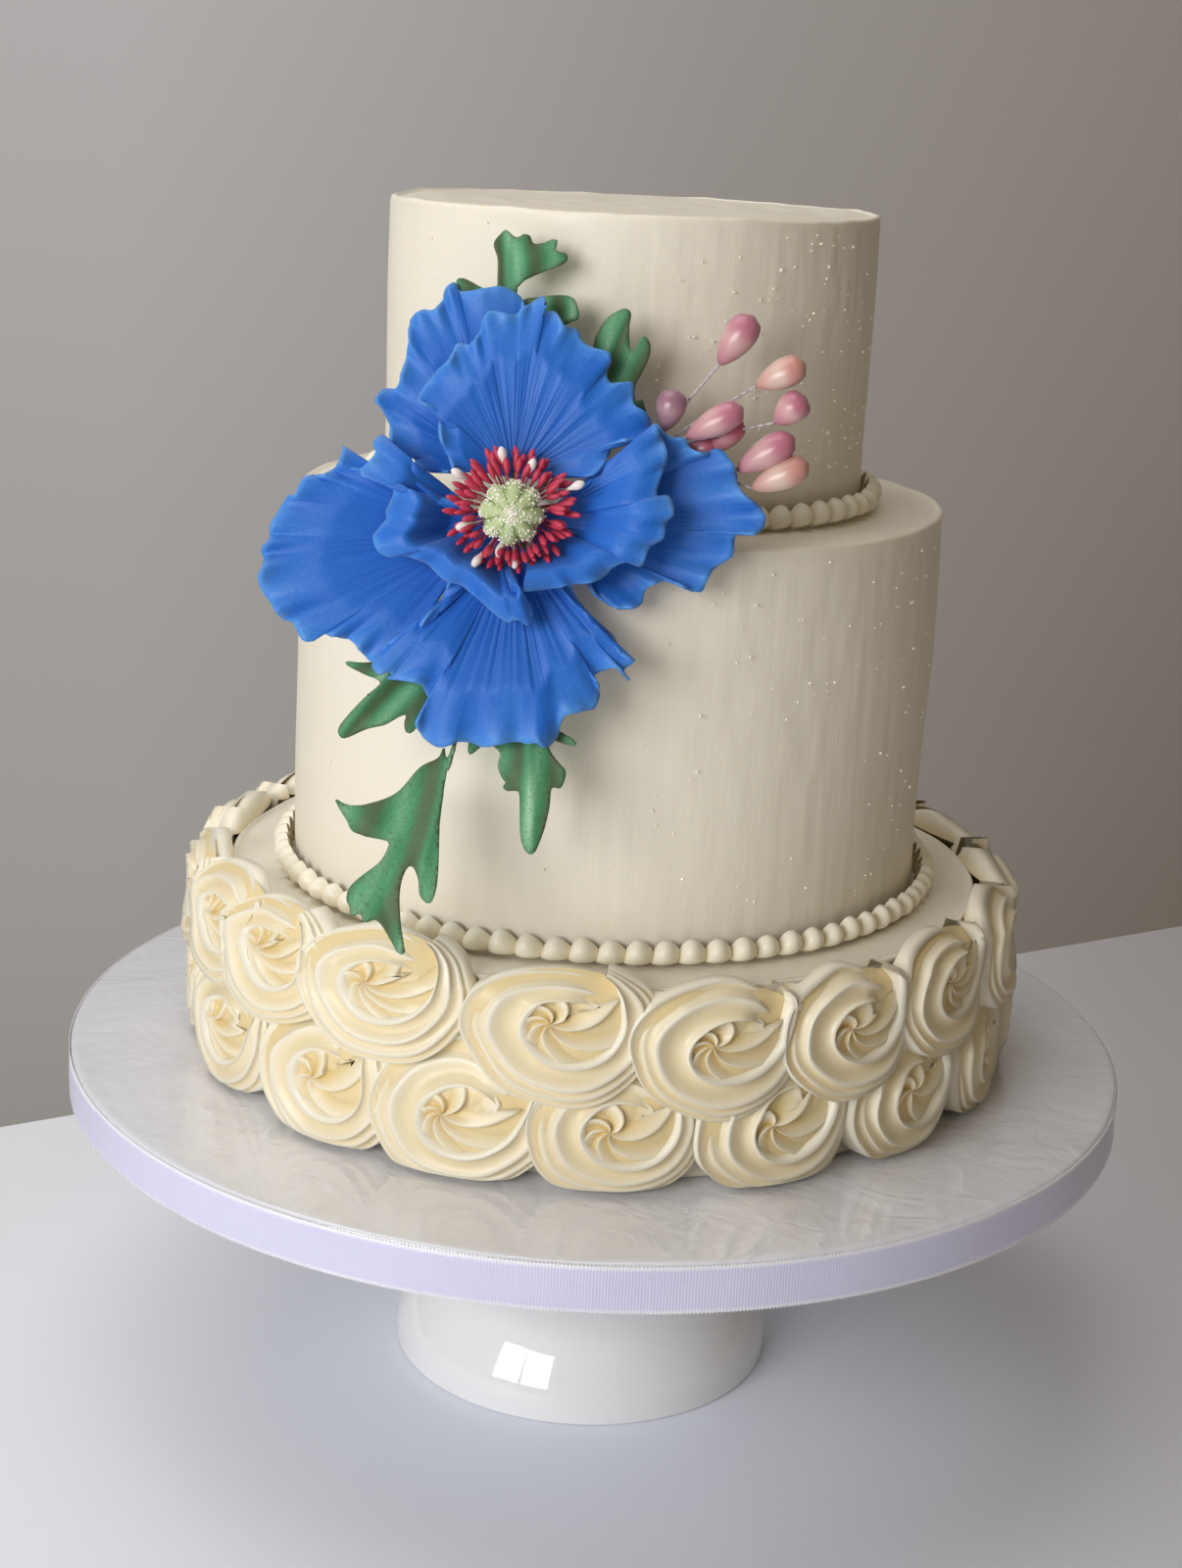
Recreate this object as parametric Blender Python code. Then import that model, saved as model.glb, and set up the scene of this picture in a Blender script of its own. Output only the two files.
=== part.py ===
"""Three-tier buttercream wedding cake on its ribboned board and pedestal stand.

A sugar poppy with leaves and a spray of buds leans on the upper tiers. Lengths below are
millimetres; everything is built in metres, +Z up, with the origin under the foot's centre.
"""
import math

import bmesh
import bpy
from mathutils import Matrix, Vector

MM = 0.001
TURN = 2.0 * math.pi
GAP = 0.4                      # clearance kept between pieces that touch

# Stand: a white ceramic plate on a bell-shaped foot.
FOOT_RADIUS = 65.6
PLATE_RADIUS = 140.0
STAND_HEIGHT = 105.0
STEM_RADIUS = 24.0
FOOT_RECESS = 3.0
STAND_SIDES = 24

# Board: a 14-inch cake drum with a satin ribbon round its edge.
BOARD_RADIUS = 177.2
BOARD_THICKNESS = 12.7
BOARD_TOP = STAND_HEIGHT + GAP + BOARD_THICKNESS
RIBBON_RADIUS = 178.2
RIBBON_WIDTH = 15.0
RIBBON_TOP = BOARD_TOP - 0.9
BOARD_SIDES = 36

# Tiers: 10, 8 and 6 inch cakes under buttercream.
BOTTOM_RADIUS = 126.0
BOTTOM_HEIGHT = 60.6
MIDDLE_RADIUS = 104.5
MIDDLE_HEIGHT = 124.3
TOP_RADIUS = 77.6
TOP_HEIGHT = 90.0
TIER_SIDES = 28
RIM_RISE = 0.6                 # the thin lip a scraper leaves round a tier's top
BOTTOM_TOP = BOARD_TOP + GAP + BOTTOM_HEIGHT
MIDDLE_TOP = BOTTOM_TOP + GAP + MIDDLE_HEIGHT
CAKE_TOP = MIDDLE_TOP + GAP + TOP_HEIGHT

# Bead borders piped at the foot of the two upper tiers.
BEAD_PITCH = 8.3
BEAD_DEPTH = 6.4
BEAD_HEIGHT = 7.4

# Rosettes piped on the bottom tier in two overlapping rows.
ROSETTE_BACK = 127.2           # radius of the wall that the rosettes sit on
ROSETTE_FACE = 136.0           # radius at which their widths are measured
ROSETTE_ARMS = 6
ROSETTE_RINGS = ((0.36, 13.6), (0.72, 12.6), (1.0, 5.0))    # share of reach, depth
ROSETTE_CENTRE_DEPTH = 12.4
RIDGE = 1.5
ROSETTE_MARGIN = 0.8
UPPER_LEVEL = BOARD_TOP + 51.0
LOWER_LEVEL = BOARD_TOP + 20.0
UPPER_COUNT = 18
LOWER_COUNT = 17
UPPER_SHOWN = (-61, -47, -28, -4, 16, 34.5, 53)             # azimuths piped by eye, degrees
UPPER_RAISED = (5.0, 3.5, 5.0, 0.0, -5.0, -4.5, 0.0)        # how far off the row's level each is
LOWER_SHOWN = (-60, -36.5, -16.7, 3.4, 24.5, 45.5, 66)
UPPER_REACH = (24.5, 24.0, 25.0, 26.0, 23.5, 23.0, 24.0)
LOWER_REACH = (24.0, 24.5, 25.5, 24.0, 24.5, 23.5, 23.0)
HIDDEN_REACH = 24.0

# Flower: its own axes are right (u), up (v) and out of its face (w).
FLOWER_CENTRE = (-29.7, -122.0, 314.5)
FLOWER_LEAN = 16.0             # degrees that the face looks up
FLOWER_ROLL = 2.7               # degrees that it turns anticlockwise
FLOWER_SPREAD = 1.03
FLOWER_RAISE = 0.15            # pieces further back sit higher, for each mm of depth
PETAL_THICKNESS = 1.2
PETAL_RINGS = (0.12, 0.4, 0.72, 1.0)
PETAL_STEPS = 12
LEAF_THICKNESS = 1.0
STEM_HALF_WIDTH = 0.8
STEM_DEPTH = -24.0             # leaf stems and bud wires run behind the petals


def srgb(code):
    """Turn a six-digit colour code into linear red, green, blue and alpha."""
    levels = [int(code[i:i + 2], 16) / 255.0 for i in (0, 2, 4)]
    linear = [c / 12.92 if c <= 0.04045 else ((c + 0.055) / 1.055) ** 2.4 for c in levels]
    return (*linear, 1.0)


def make_material(name, code, roughness):
    material = bpy.data.materials.new(name)
    material.use_nodes = True
    shader = material.node_tree.nodes["Principled BSDF"]
    shader.inputs["Base Color"].default_value = srgb(code)
    shader.inputs["Roughness"].default_value = roughness
    material.diffuse_color = srgb(code)
    return material


def add_piece(name, points, faces, material):
    """Make one named object from points in millimetres and faces, normals outward."""
    mesh = bpy.data.meshes.new(name)
    mesh.from_pydata([Vector(p) * MM for p in points], [], faces)
    body = bmesh.new()
    body.from_mesh(mesh)
    bmesh.ops.recalc_face_normals(body, faces=body.faces)
    if body.calc_volume(signed=True) < 0.0:
        bmesh.ops.reverse_faces(body, faces=body.faces)
    body.to_mesh(mesh)
    body.free()
    piece = bpy.data.objects.new(name, mesh)
    bpy.context.scene.collection.objects.link(piece)
    mesh.materials.append(material)
    mesh.shade_smooth()
    mesh.set_sharp_from_angle(angle=math.radians(40))
    return piece


def turned(profile, sides, waviness=None):
    """Turn a profile of (radius, height) round the upright axis; zero radius is a pole."""
    points, rings, faces = [], [], []
    for radius, height in profile:
        if radius == 0.0:
            rings.append([len(points)] * sides)
            points.append((0.0, 0.0, height))
            continue
        ring = []
        for i in range(sides):
            angle = TURN * i / sides
            r = radius * (waviness(angle, height) if waviness else 1.0)
            ring.append(len(points))
            points.append((r * math.cos(angle), r * math.sin(angle), height))
        rings.append(ring)
    for low, high in zip(rings, rings[1:]):
        for i in range(sides):
            j = (i + 1) % sides
            corners = [low[i], low[j], high[j], high[i]]
            faces.append(list(dict.fromkeys(corners)))
    return points, faces


def make_stand(ceramic):
    ring_width = 7.0
    profile = [
        (0.0, FOOT_RECESS),
        (FOOT_RADIUS - ring_width, FOOT_RECESS),
        (FOOT_RADIUS - ring_width, 0.0),
        (FOOT_RADIUS - 0.6, 0.0),
        (FOOT_RADIUS, 2.0),
        (FOOT_RADIUS - 1.6, 12.0),
        (FOOT_RADIUS - 12.0, 28.0),
        (FOOT_RADIUS - 30.0, 41.0),
        (STEM_RADIUS, 58.0),
        (STEM_RADIUS + 4.0, 82.0),
        (STEM_RADIUS + 34.0, 95.0),
        (PLATE_RADIUS, 98.5),
        (PLATE_RADIUS, STAND_HEIGHT),
        (0.0, STAND_HEIGHT),
    ]
    add_piece("stand", *turned(profile, STAND_SIDES), ceramic)


def make_board(foil, satin):
    bottom = STAND_HEIGHT + GAP
    profile = [(0.0, bottom), (BOARD_RADIUS, bottom), (BOARD_RADIUS, BOARD_TOP - 0.8),
               (BOARD_RADIUS - 0.8, BOARD_TOP), (0.0, BOARD_TOP)]
    add_piece("board", *turned(profile, BOARD_SIDES), foil)
    inner = BOARD_RADIUS + GAP
    low = RIBBON_TOP - RIBBON_WIDTH
    band = [(inner, low), (RIBBON_RADIUS, low), (RIBBON_RADIUS, RIBBON_TOP),
            (inner, RIBBON_TOP), (inner, low)]
    points, faces = turned(band, BOARD_SIDES)
    add_piece("ribbon", points[:-BOARD_SIDES],
              [[i % (4 * BOARD_SIDES) for i in face] for face in faces], satin)


def make_tiers(buttercream):
    def uneven(angle, height):
        return 1.0 - 0.0025 * (1.0 + math.sin(2.0 * angle + height * 0.02))

    tiers = (("tier_bottom", BOTTOM_RADIUS, BOARD_TOP + GAP, BOTTOM_TOP),
             ("tier_middle", MIDDLE_RADIUS, BOTTOM_TOP + GAP, MIDDLE_TOP),
             ("tier_top", TOP_RADIUS, MIDDLE_TOP + GAP, CAKE_TOP))
    for name, radius, low, high in tiers:
        profile = [(0.0, low), (radius, low), (radius, high - 2.0), (radius - 0.8, high),
                   (radius - 5.0, high - RIM_RISE), (0.0, high - RIM_RISE)]
        add_piece(name, *turned(profile, TIER_SIDES, uneven), buttercream)


def make_border(name, tier_radius, level, buttercream):
    """One ring of squashed beads: each bead is a crest and the pinch that follows it."""
    inner = tier_radius + GAP + 0.2
    count = round(TURN * (inner + BEAD_DEPTH / 2) / BEAD_PITCH)
    base = level + GAP
    points, faces = [], []
    for i in range(2 * count):
        angle = TURN * i / (2 * count)
        swell = 1.0 if i % 2 == 0 else 0.62
        outer = inner + BEAD_DEPTH * swell
        section = ((inner, base), (outer - 0.8, base), (outer, base + 0.5 * BEAD_HEIGHT * swell),
                   (inner, base + BEAD_HEIGHT * swell))
        for radius, height in section:
            points.append((radius * math.cos(angle), radius * math.sin(angle), height))
    total = len(points)
    for i in range(2 * count):
        for k in range(4):
            a, b = 4 * i + k, 4 * i + (k + 1) % 4
            faces.append([a, b, (b + 4) % total, (a + 4) % total])
    add_piece(name, points, faces, buttercream)


def row_places(shown, reaches, raised, count, level):
    """Centre (distance round the cake, height) and reach of every rosette in one row."""
    hidden = count - len(shown)
    step = (360.0 - (shown[-1] - shown[0])) / (hidden + 1)
    azimuths = list(shown) + [shown[-1] + step * (k + 1) for k in range(hidden)]
    reaches = list(reaches) + [HIDDEN_REACH] * hidden
    levels = [level + r for r in raised] + [level] * hidden
    return [(math.radians(a) * ROSETTE_FACE, z, r) for a, z, r in zip(azimuths, levels, reaches)]


def room(place, angle, covers, floor):
    """How far a rosette reaches round one direction before a neighbour lies over it. The
    directions to both sides count too, so that its straight edges stay clear as well."""
    half_step = TURN / (4 * ROSETTE_ARMS)
    return min(ray(place, angle + half_step * k / 2, covers, floor) for k in range(-2, 3))


def ray(place, angle, covers, floor):
    """The clear distance from a rosette's centre in exactly one direction."""
    across, level, reach = place
    dx, dz = math.cos(angle), math.sin(angle)
    best = reach
    if dz < 0.0:
        best = min(best, (level - floor) / -dz)
    girth = TURN * ROSETTE_FACE
    for other_across, other_level, other_reach in covers:
        cx = (other_across - across + girth / 2) % girth - girth / 2
        cz = other_level - level
        along = cx * dx + cz * dz
        aside = cx * cx + cz * cz - along * along
        if along <= 0.0 or aside >= other_reach ** 2:
            continue
        best = min(best, along - math.sqrt(other_reach ** 2 - aside) - ROSETTE_MARGIN)
    return best


def make_rosette(name, place, covers, turn, buttercream):
    """A swirl of six ridges that curl outward from the centre, wrapped on the tier's wall."""
    across, level, _ = place
    columns = 2 * ROSETTE_ARMS
    floor = BOARD_TOP + GAP

    def point(x, z, depth):
        angle = (across + x) / ROSETTE_FACE
        radius = ROSETTE_BACK + depth
        return (radius * math.sin(angle), -radius * math.cos(angle), level + z)

    points = [point(0.0, 0.0, ROSETTE_CENTRE_DEPTH)]
    faces = []
    for ring, (share, depth) in enumerate(ROSETTE_RINGS):
        for k in range(columns):
            angle = turn + TURN * (k + ring) / columns
            reach = share * room(place, angle, covers, floor)
            ridge = RIDGE if k % 2 == 0 else -RIDGE
            if share == 1.0:
                ridge *= 0.4
            points.append(point(reach * math.cos(angle), reach * math.sin(angle), depth + ridge))
    outer = 1 + columns * (len(ROSETTE_RINGS) - 1)
    back = len(points)
    for k in range(columns):
        angle = turn + TURN * (k + len(ROSETTE_RINGS) - 1) / columns
        reach = room(place, angle, covers, floor)
        points.append(point(reach * math.cos(angle), reach * math.sin(angle), 0.0))
    middle = len(points)
    points.append(point(0.0, 0.0, 0.0))
    for k in range(columns):
        j = (k + 1) % columns
        faces.append([0, 1 + k, 1 + j])
        for ring in range(len(ROSETTE_RINGS) - 1):
            low = 1 + ring * columns
            faces.append([low + k, low + columns + k, low + columns + j])
            faces.append([low + k, low + columns + j, low + j])
        faces.append([outer + k, back + k, back + j, outer + j])
        faces.append([back + k, middle, back + j])
    add_piece(name, points, faces, buttercream)


def make_rosettes(buttercream):
    """Each rosette laps over the one on its left, and the upper row over the lower."""
    upper = row_places(UPPER_SHOWN, UPPER_REACH, UPPER_RAISED, UPPER_COUNT, UPPER_LEVEL)
    lower = row_places(LOWER_SHOWN, LOWER_REACH, [0.0] * len(LOWER_SHOWN), LOWER_COUNT, LOWER_LEVEL)
    for row, places, above in (("upper", upper, []), ("lower", lower, upper)):
        for i, place in enumerate(places):
            right = places[(i + 1) % len(places)]
            turn = math.radians(130.0 + 25.0 * math.sin(3.1 * i))
            make_rosette(f"rosette_{row}_{i + 1:02d}", place, [right] + above, turn, buttercream)


def flower_matrix():
    lean = Matrix.Rotation(math.radians(90.0 - FLOWER_LEAN), 4, "X")
    roll = Matrix.Rotation(math.radians(FLOWER_ROLL), 4, "Z")
    return Matrix.Translation(Vector(FLOWER_CENTRE)) @ lean @ roll


FLOWER = flower_matrix()


def in_flower(u, v, w):
    """Flower axes to the cake's axes, all in millimetres."""
    return FLOWER @ Vector((u * FLOWER_SPREAD, v * FLOWER_SPREAD - w * FLOWER_RAISE, w))


def spaced(outline, steps):
    """Points at even distances along an open outline."""
    lengths = [math.dist(a, b) for a, b in zip(outline, outline[1:])]
    total = sum(lengths)
    result = []
    for step in range(steps + 1):
        left = total * step / steps
        index = 0
        while index < len(lengths) - 1 and left > lengths[index]:
            left -= lengths[index]
            index += 1
        a, b = Vector(outline[index]), Vector(outline[index + 1])
        result.append(a.lerp(b, min(1.0, left / lengths[index])))
    return result


def make_petal(name, base, base_depth, sections, frill, outline, sugar):
    """A fan from the base to the outline. Sections hold the depth at the inner rings and
    the edge, at the outline's start, middle and end; frill is (height, waves)."""
    height, waves = frill
    edge = spaced(outline, PETAL_STEPS)
    origin = Vector(base)
    points, faces = [], []
    for ring, share in enumerate(PETAL_RINGS):
        for step, place in enumerate(edge):
            along = step / PETAL_STEPS
            half = min(1, int(along * 2.0))
            blend = along * 2.0 - half
            if ring == 0:
                depth = base_depth
            else:
                first, second = sections[half][ring - 1], sections[half + 1][ring - 1]
                depth = first + (second - first) * blend
            depth += height * share ** 4 * math.sin(TURN * waves * along)
            u, v = origin.lerp(place, share)
            points.append(in_flower(u, v, depth))
    row = PETAL_STEPS + 1
    for ring in range(len(PETAL_RINGS) - 1):
        for step in range(PETAL_STEPS):
            a = ring * row + step
            faces.append([a, a + 1, a + row + 1, a + row])
    petal = add_piece(name, points, faces, sugar)
    thicken = petal.modifiers.new("thickness", "SOLIDIFY")
    thicken.thickness = PETAL_THICKNESS * MM
    thicken.offset = 0.0
    petal.modifiers.new("facets", "TRIANGULATE")


def make_petals(sugar):
    make_petal("petal_top", (0, 9), -12.5, ((-11, -9, -9), (-9, -6, -9), (-10, -9, -9)), (1.6, 5),
               [(-16, 12), (-20, 24), (-26, 30), (-16, 43), (-9, 49), (-5, 54), (8, 58),
                (14, 50), (21, 44), (26, 41), (26, 35), (32, 34), (37, 24), (29, 19), (20, 9)], sugar)
    make_petal("petal_back", (-3, 11), -18, ((-17, -16, -16), (-17, -15, -16), (-17, -16, -17)), (1.2, 4),
               [(-18, 11), (-31, 17), (-34, 16), (-35, 26), (-38, 30), (-31, 36), (-29, 50),
                (-20, 57), (-16, 62), (0, 60), (3, 56), (4, 40)], sugar)
    make_petal("petal_left", (-9, -6), -18, ((-17, -15, -15), (-16, -13, -13), (-17, -15, -15)), (1.4, 5),
               [(-26, 3), (-36, 9), (-46, 14), (-57, 9), (-66, -4), (-69, -19), (-62, -30),
                (-56, -36), (-47, -34), (-37, -41), (-27, -34)], sugar)
    make_petal("petal_bottom", (0, -9), -15.5, ((-13, -10, -10), (-12, -8, -12), (-13, -10, -12)), (1.4, 5),
               [(-17, -19), (-23, -28), (-34, -36), (-38, -42), (-33, -45), (-24, -48), (-26, -58),
                (-20, -64), (-8, -64), (9, -64), (14, -55), (23, -50), (22, -45), (32, -43),
                (24, -32), (16, -20)], sugar)
    make_petal("petal_right", (8, -3), -18, ((-17, -16, -15), (-17, -16, -14), (-17, -15, -14)), (1.2, 5),
               [(21, -18), (22, -23), (29, -26), (37, -20), (51, -22), (55, -15), (60, -8),
                (68, -3), (62, 5), (58, 15), (48, 17), (41, 21)], sugar)
    make_petal("petal_inner_left", (-6, -4), -12.5, ((-12, -9, -7), (-9, -1, -2), (-9, 2, -1)), (1.0, 5),
               [(-15, 3), (-25, 4), (-33, 12), (-35, 20), (-40, 11), (-32, 5), (-37, -7),
                (-29, -12), (-18, -18), (-9, -23), (-1, -29), (5, -28), (2, -22)], sugar)
    make_petal("petal_inner_right", (6, -3), -12.5, ((-9, 0, -2), (-9, -1, 0), (-12, -12, -12)), (1.0, 5),
               [(3, -21), (12, -20), (22, -18), (34, -14), (41, -5), (43, 0), (41, 14), (38, 23),
                (33, 14), (24, 9)], sugar)


def make_pod(sugar):
    """The seed pod with its eight grooves and the stalk that runs back to the tier's rim."""
    profile = [(0.0, 6.4), (5.0, 6.8), (8.2, 4.0), (9.0, 0.0), (7.8, -4.4), (4.0, -7.6),
               (2.2, -9.0), (2.2, -28.0), (0.0, -28.0)]
    points, faces = turned(profile, 12)
    placed = [in_flower(x, y, z) for x, y, z in points]
    add_piece("seed_pod", placed, faces, sugar)


def make_stamens(sugar):
    """The tuft of stamens as one ring with an uneven outer outline."""
    section = ((4.6, -10.0), (9.9, -3.4), (9.9, 2.4), (14.6, 3.0), (11.0, -5.0), (6.6, -10.0))
    sides, points, faces = 16, [], []
    for i in range(sides):
        angle = TURN * i / sides
        for k, (radius, height) in enumerate(section):
            grow = 1.0 + 0.06 * (-1) ** i if k in (3, 4) else 1.0
            points.append(in_flower(radius * grow * math.cos(angle),
                                    radius * grow * math.sin(angle), height))
    count = len(section)
    for i in range(sides):
        for k in range(count):
            a, b = i * count + k, i * count + (k + 1) % count
            faces.append([a, b, (b + count) % len(points), (a + count) % len(points)])
    add_piece("stamens", points, faces, sugar)


def make_leaf(name, root, tip, tip_depth, outline, sugar):
    """A flat lobed leaf on its own stem. The outline runs round the blade and stays open
    at the stem, which ends at the root behind the petals."""
    start = Vector(root)
    axis = Vector(tip) - start
    side = Vector((-axis.y, axis.x)).normalized() * STEM_HALF_WIDTH
    first = Vector(outline[0]) - start
    if first.dot(side) < 0.0:
        side = -side
    flat = [start + side] + [Vector(p) for p in outline] + [start - side]
    points = []
    for face_side in (0.5, -0.5):
        for place in flat:
            share = (place - start).dot(axis) / axis.length_squared
            depth = STEM_DEPTH + (tip_depth - STEM_DEPTH) * share
            points.append(in_flower(place.x, place.y, depth + face_side * LEAF_THICKNESS))
    count = len(flat)
    faces = [list(range(count)), list(range(2 * count - 1, count - 1, -1))]
    for i in range(count):
        j = (i + 1) % count
        faces.append([i, j, count + j, count + i])
    add_piece(name, points, faces, sugar)


def make_leaves(sugar):
    make_leaf("leaf_top", (-1, 10), (-2, 76), -18,
              [(-3, 52), (-5, 61), (-5, 69), (-6, 73), (-2, 77), (1, 74), (4, 75), (5, 73),
               (11, 74), (11, 71), (14, 69), (5, 64), (0, 59), (-1, 52)], sugar)
    make_leaf("leaf_upper_right", (3, 10), (17, 56), -18,
              [(5, 50), (3, 57), (12, 59), (16, 58), (18, 53), (13, 52), (9, 48)], sugar)
    make_leaf("leaf_right", (7, 6), (31, 55), -16,
              [(20, 37), (22, 48), (28, 54), (31, 55), (31, 44), (34, 47), (37, 46), (34, 36),
               (33, 31), (35, 29), (35, 27), (24, 31)], sugar)
    make_leaf("leaf_lower_left", (-7, -7), (-47, -61), -15,
              [(-27, -38), (-38, -42), (-45, -41), (-37, -46), (-46, -57), (-47, -62), (-35, -58),
               (-29, -56), (-29, -60), (-26, -58), (-22, -52), (-20, -40), (-22, -31)], sugar)
    make_leaf("leaf_hanging", (-3, -10), (-30, -119), -10,
              [(-16, -60), (-20, -67), (-32, -77), (-40, -80), (-48, -79), (-44, -87), (-34, -90),
               (-41, -99), (-45, -105), (-43, -109), (-40, -111), (-37, -110), (-31, -119),
               (-29, -118), (-30, -100), (-28, -96), (-25, -104), (-22, -105), (-20, -100),
               (-20, -83), (-17, -66), (-14, -59)], sugar)
    make_leaf("leaf_lower", (2, -10), (5, -93), -15,
              [(1, -45), (-4, -58), (-12, -62), (-12, -66), (-4, -64), (-4, -70), (-2, -76),
               (2, -77), (2, -88), (5, -93), (9, -86), (10, -76), (13, -75), (14, -71), (10, -64),
               (17, -64), (13, -60), (8, -55), (4, -45)], sugar)


def make_spray(sugar):
    """Nine long buds on wires that are bound together in one stem behind the petals."""
    binding = (36.0, 14.0, -21.5)
    stem_end = (12.0, 5.0, STEM_DEPTH + 1.0)
    buds = (((41, 22, -17), (44, 33, -15), 4.4), ((56, 40, -17), (65, 53, -14), 4.9),
            ((66, 34, -16), (79, 40, -13), 4.5), ((71, 24, -15), (79, 31, -12), 4.6),
            ((47, 20, -15), (62, 28, -11), 4.3), ((53, 16, -20), (62, 25, -18), 4.2),
            ((46, 16, -21), (56, 18, -20), 3.8), ((61, 11, -17), (76, 20, -13), 4.6),
            ((65, 6, -17), (80, 13, -14), 4.4))
    tape_end = (38.6, 15.2, -21.2)
    outlines = [[(tape_end, 2.2), (binding, 2.4), (stem_end, 1.4)]]
    for i, (tip, end, radius) in enumerate(buds):
        reach = [Vector(tip).lerp(Vector(end), s) for s in (0.0, 0.3, 0.65, 0.9, 1.0)]
        widths = (0.6, 0.75 * radius, radius, 0.6 * radius, 0.15 * radius)
        angle = TURN * i / len(buds)
        start = Vector(binding) + Vector((0.0, 1.3 * math.cos(angle), 1.3 * math.sin(angle)))
        outlines.append([(start, 0.4)] + list(zip(reach, widths)))
    parts = [tube(f"spray_part_{i}", outline, sugar) for i, outline in enumerate(outlines)]
    spray = parts[0]
    spray.name = "bud_spray"
    for i, part in enumerate(parts[1:]):
        part.hide_render = True
        part.display_type = "WIRE"
        join = spray.modifiers.new(f"join_{i}", "BOOLEAN")
        join.operation = "UNION"
        join.object = part


def tube(name, outline, sugar):
    """A closed five-sided tube through (place, radius) pairs given on the flower's axes."""
    sides, points, faces = 5, [], []
    places = [in_flower(*place) for place, _ in outline]
    for i, (place, (_, radius)) in enumerate(zip(places, outline)):
        ahead = places[min(i + 1, len(places) - 1)] - places[max(i - 1, 0)]
        turn = ahead.to_track_quat("Z", "Y")
        for k in range(sides):
            angle = TURN * k / sides
            points.append(place + turn @ Vector((radius * math.cos(angle),
                                                 radius * math.sin(angle), 0.0)))
    for i in range(len(outline) - 1):
        for k in range(sides):
            a, b = i * sides + k, i * sides + (k + 1) % sides
            faces.append([a, b, b + sides, a + sides])
    faces.append(list(range(sides))[::-1])
    faces.append(list(range(len(points) - sides, len(points))))
    return add_piece(name, points, faces, sugar)


for old in list(bpy.data.objects):
    bpy.data.objects.remove(old, do_unlink=True)

cream = make_material("ivory buttercream", "EFE8D6", 0.45)
blue_sugar = make_material("blue sugar paste", "2F66C4", 0.5)
make_stand(make_material("white glazed ceramic", "F1F1F3", 0.12))
make_board(make_material("white glossy board cover", "EDEBE8", 0.2),
           make_material("lilac satin ribbon", "CFCBEA", 0.35))
make_tiers(cream)
make_border("border_middle", MIDDLE_RADIUS, BOTTOM_TOP, cream)
make_border("border_top", TOP_RADIUS, MIDDLE_TOP, cream)
make_rosettes(cream)
make_petals(blue_sugar)
make_pod(make_material("pale green sugar paste", "B7C79A", 0.6))
make_stamens(make_material("crimson stamens", "C93A5C", 0.5))
make_leaves(make_material("green sugar paste", "3F8B5A", 0.55))
make_spray(make_material("pink sugar paste", "E3A9AC", 0.4))
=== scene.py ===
import math

import bmesh
import bpy
import numpy as np
from mathutils import Matrix, Vector
from mathutils.geometry import delaunay_2d_cdt


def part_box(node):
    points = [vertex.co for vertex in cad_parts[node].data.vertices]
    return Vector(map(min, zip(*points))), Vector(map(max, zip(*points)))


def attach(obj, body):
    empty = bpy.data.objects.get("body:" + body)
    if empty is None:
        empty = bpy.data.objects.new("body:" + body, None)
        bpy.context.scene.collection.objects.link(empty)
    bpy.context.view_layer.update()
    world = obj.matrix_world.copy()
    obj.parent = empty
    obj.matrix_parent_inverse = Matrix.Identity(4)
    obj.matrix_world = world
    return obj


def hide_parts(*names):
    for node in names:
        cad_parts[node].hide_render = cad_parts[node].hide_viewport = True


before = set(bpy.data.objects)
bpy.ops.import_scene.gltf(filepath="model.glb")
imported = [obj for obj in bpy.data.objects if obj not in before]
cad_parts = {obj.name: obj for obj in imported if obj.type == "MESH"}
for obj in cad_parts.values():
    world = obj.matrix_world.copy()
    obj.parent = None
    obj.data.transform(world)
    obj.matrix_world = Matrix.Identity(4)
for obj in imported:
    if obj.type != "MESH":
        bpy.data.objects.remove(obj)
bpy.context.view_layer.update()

TURN = 2.0 * math.pi

# ---- Camera: a little above the cake, looking down at it and held slightly crooked ----
bpy.context.scene.view_settings.view_transform = "Standard"
camera = bpy.data.objects.new("camera", bpy.data.cameras.new("camera"))
bpy.context.scene.collection.objects.link(camera)
camera.data.sensor_width = 36.0
camera.data.lens = 54.88
camera.matrix_world = (Matrix.Translation((0.0, -0.7716, 0.4246))
                       @ Matrix.Rotation(math.radians(0.395), 4, "Z")
                       @ Matrix.Rotation(math.radians(90.0 - 16.0), 4, "X")
                       @ Matrix.Rotation(math.radians(2.72), 4, "Z"))
bpy.context.scene.camera = camera

# ---- Room: a matt white table top running up into a plain grey backdrop ----
# One large soft window lamp at the left does most of the lighting, as daylight would; the table and backdrop
# also carry painted shade that darkens them towards the right.


def colour(code):
    """A six-digit sRGB colour turned into linear light."""
    levels = [int(code[i:i + 2], 16) / 255.0 for i in (0, 2, 4)]
    linear = [c / 12.92 if c <= 0.04045 else ((c + 0.055) / 1.055) ** 2.4 for c in levels]
    return (*linear, 1.0)


def add(tree, kind, settings=None, links=None):
    """Add a shader node: settings fill its sockets or properties, links feed its sockets."""
    made = tree.nodes.new("ShaderNode" + kind)
    for key, value in (settings or {}).items():
        if isinstance(key, int) or key in made.inputs:
            made.inputs[key].default_value = value
        else:
            setattr(made, key, value)
    for key, source in (links or {}).items():
        tree.links.new(source, made.inputs[key])
    return made


def new_material(name, **shader_settings):
    """A Principled material; settings are its socket names with _ for a space."""
    material = bpy.data.materials.new(name)
    material.use_nodes = True
    shader = material.node_tree.nodes["Principled BSDF"]
    for key, value in shader_settings.items():
        shader.inputs[key.replace("_", " ")].default_value = value
    return material, material.node_tree, shader


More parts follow.
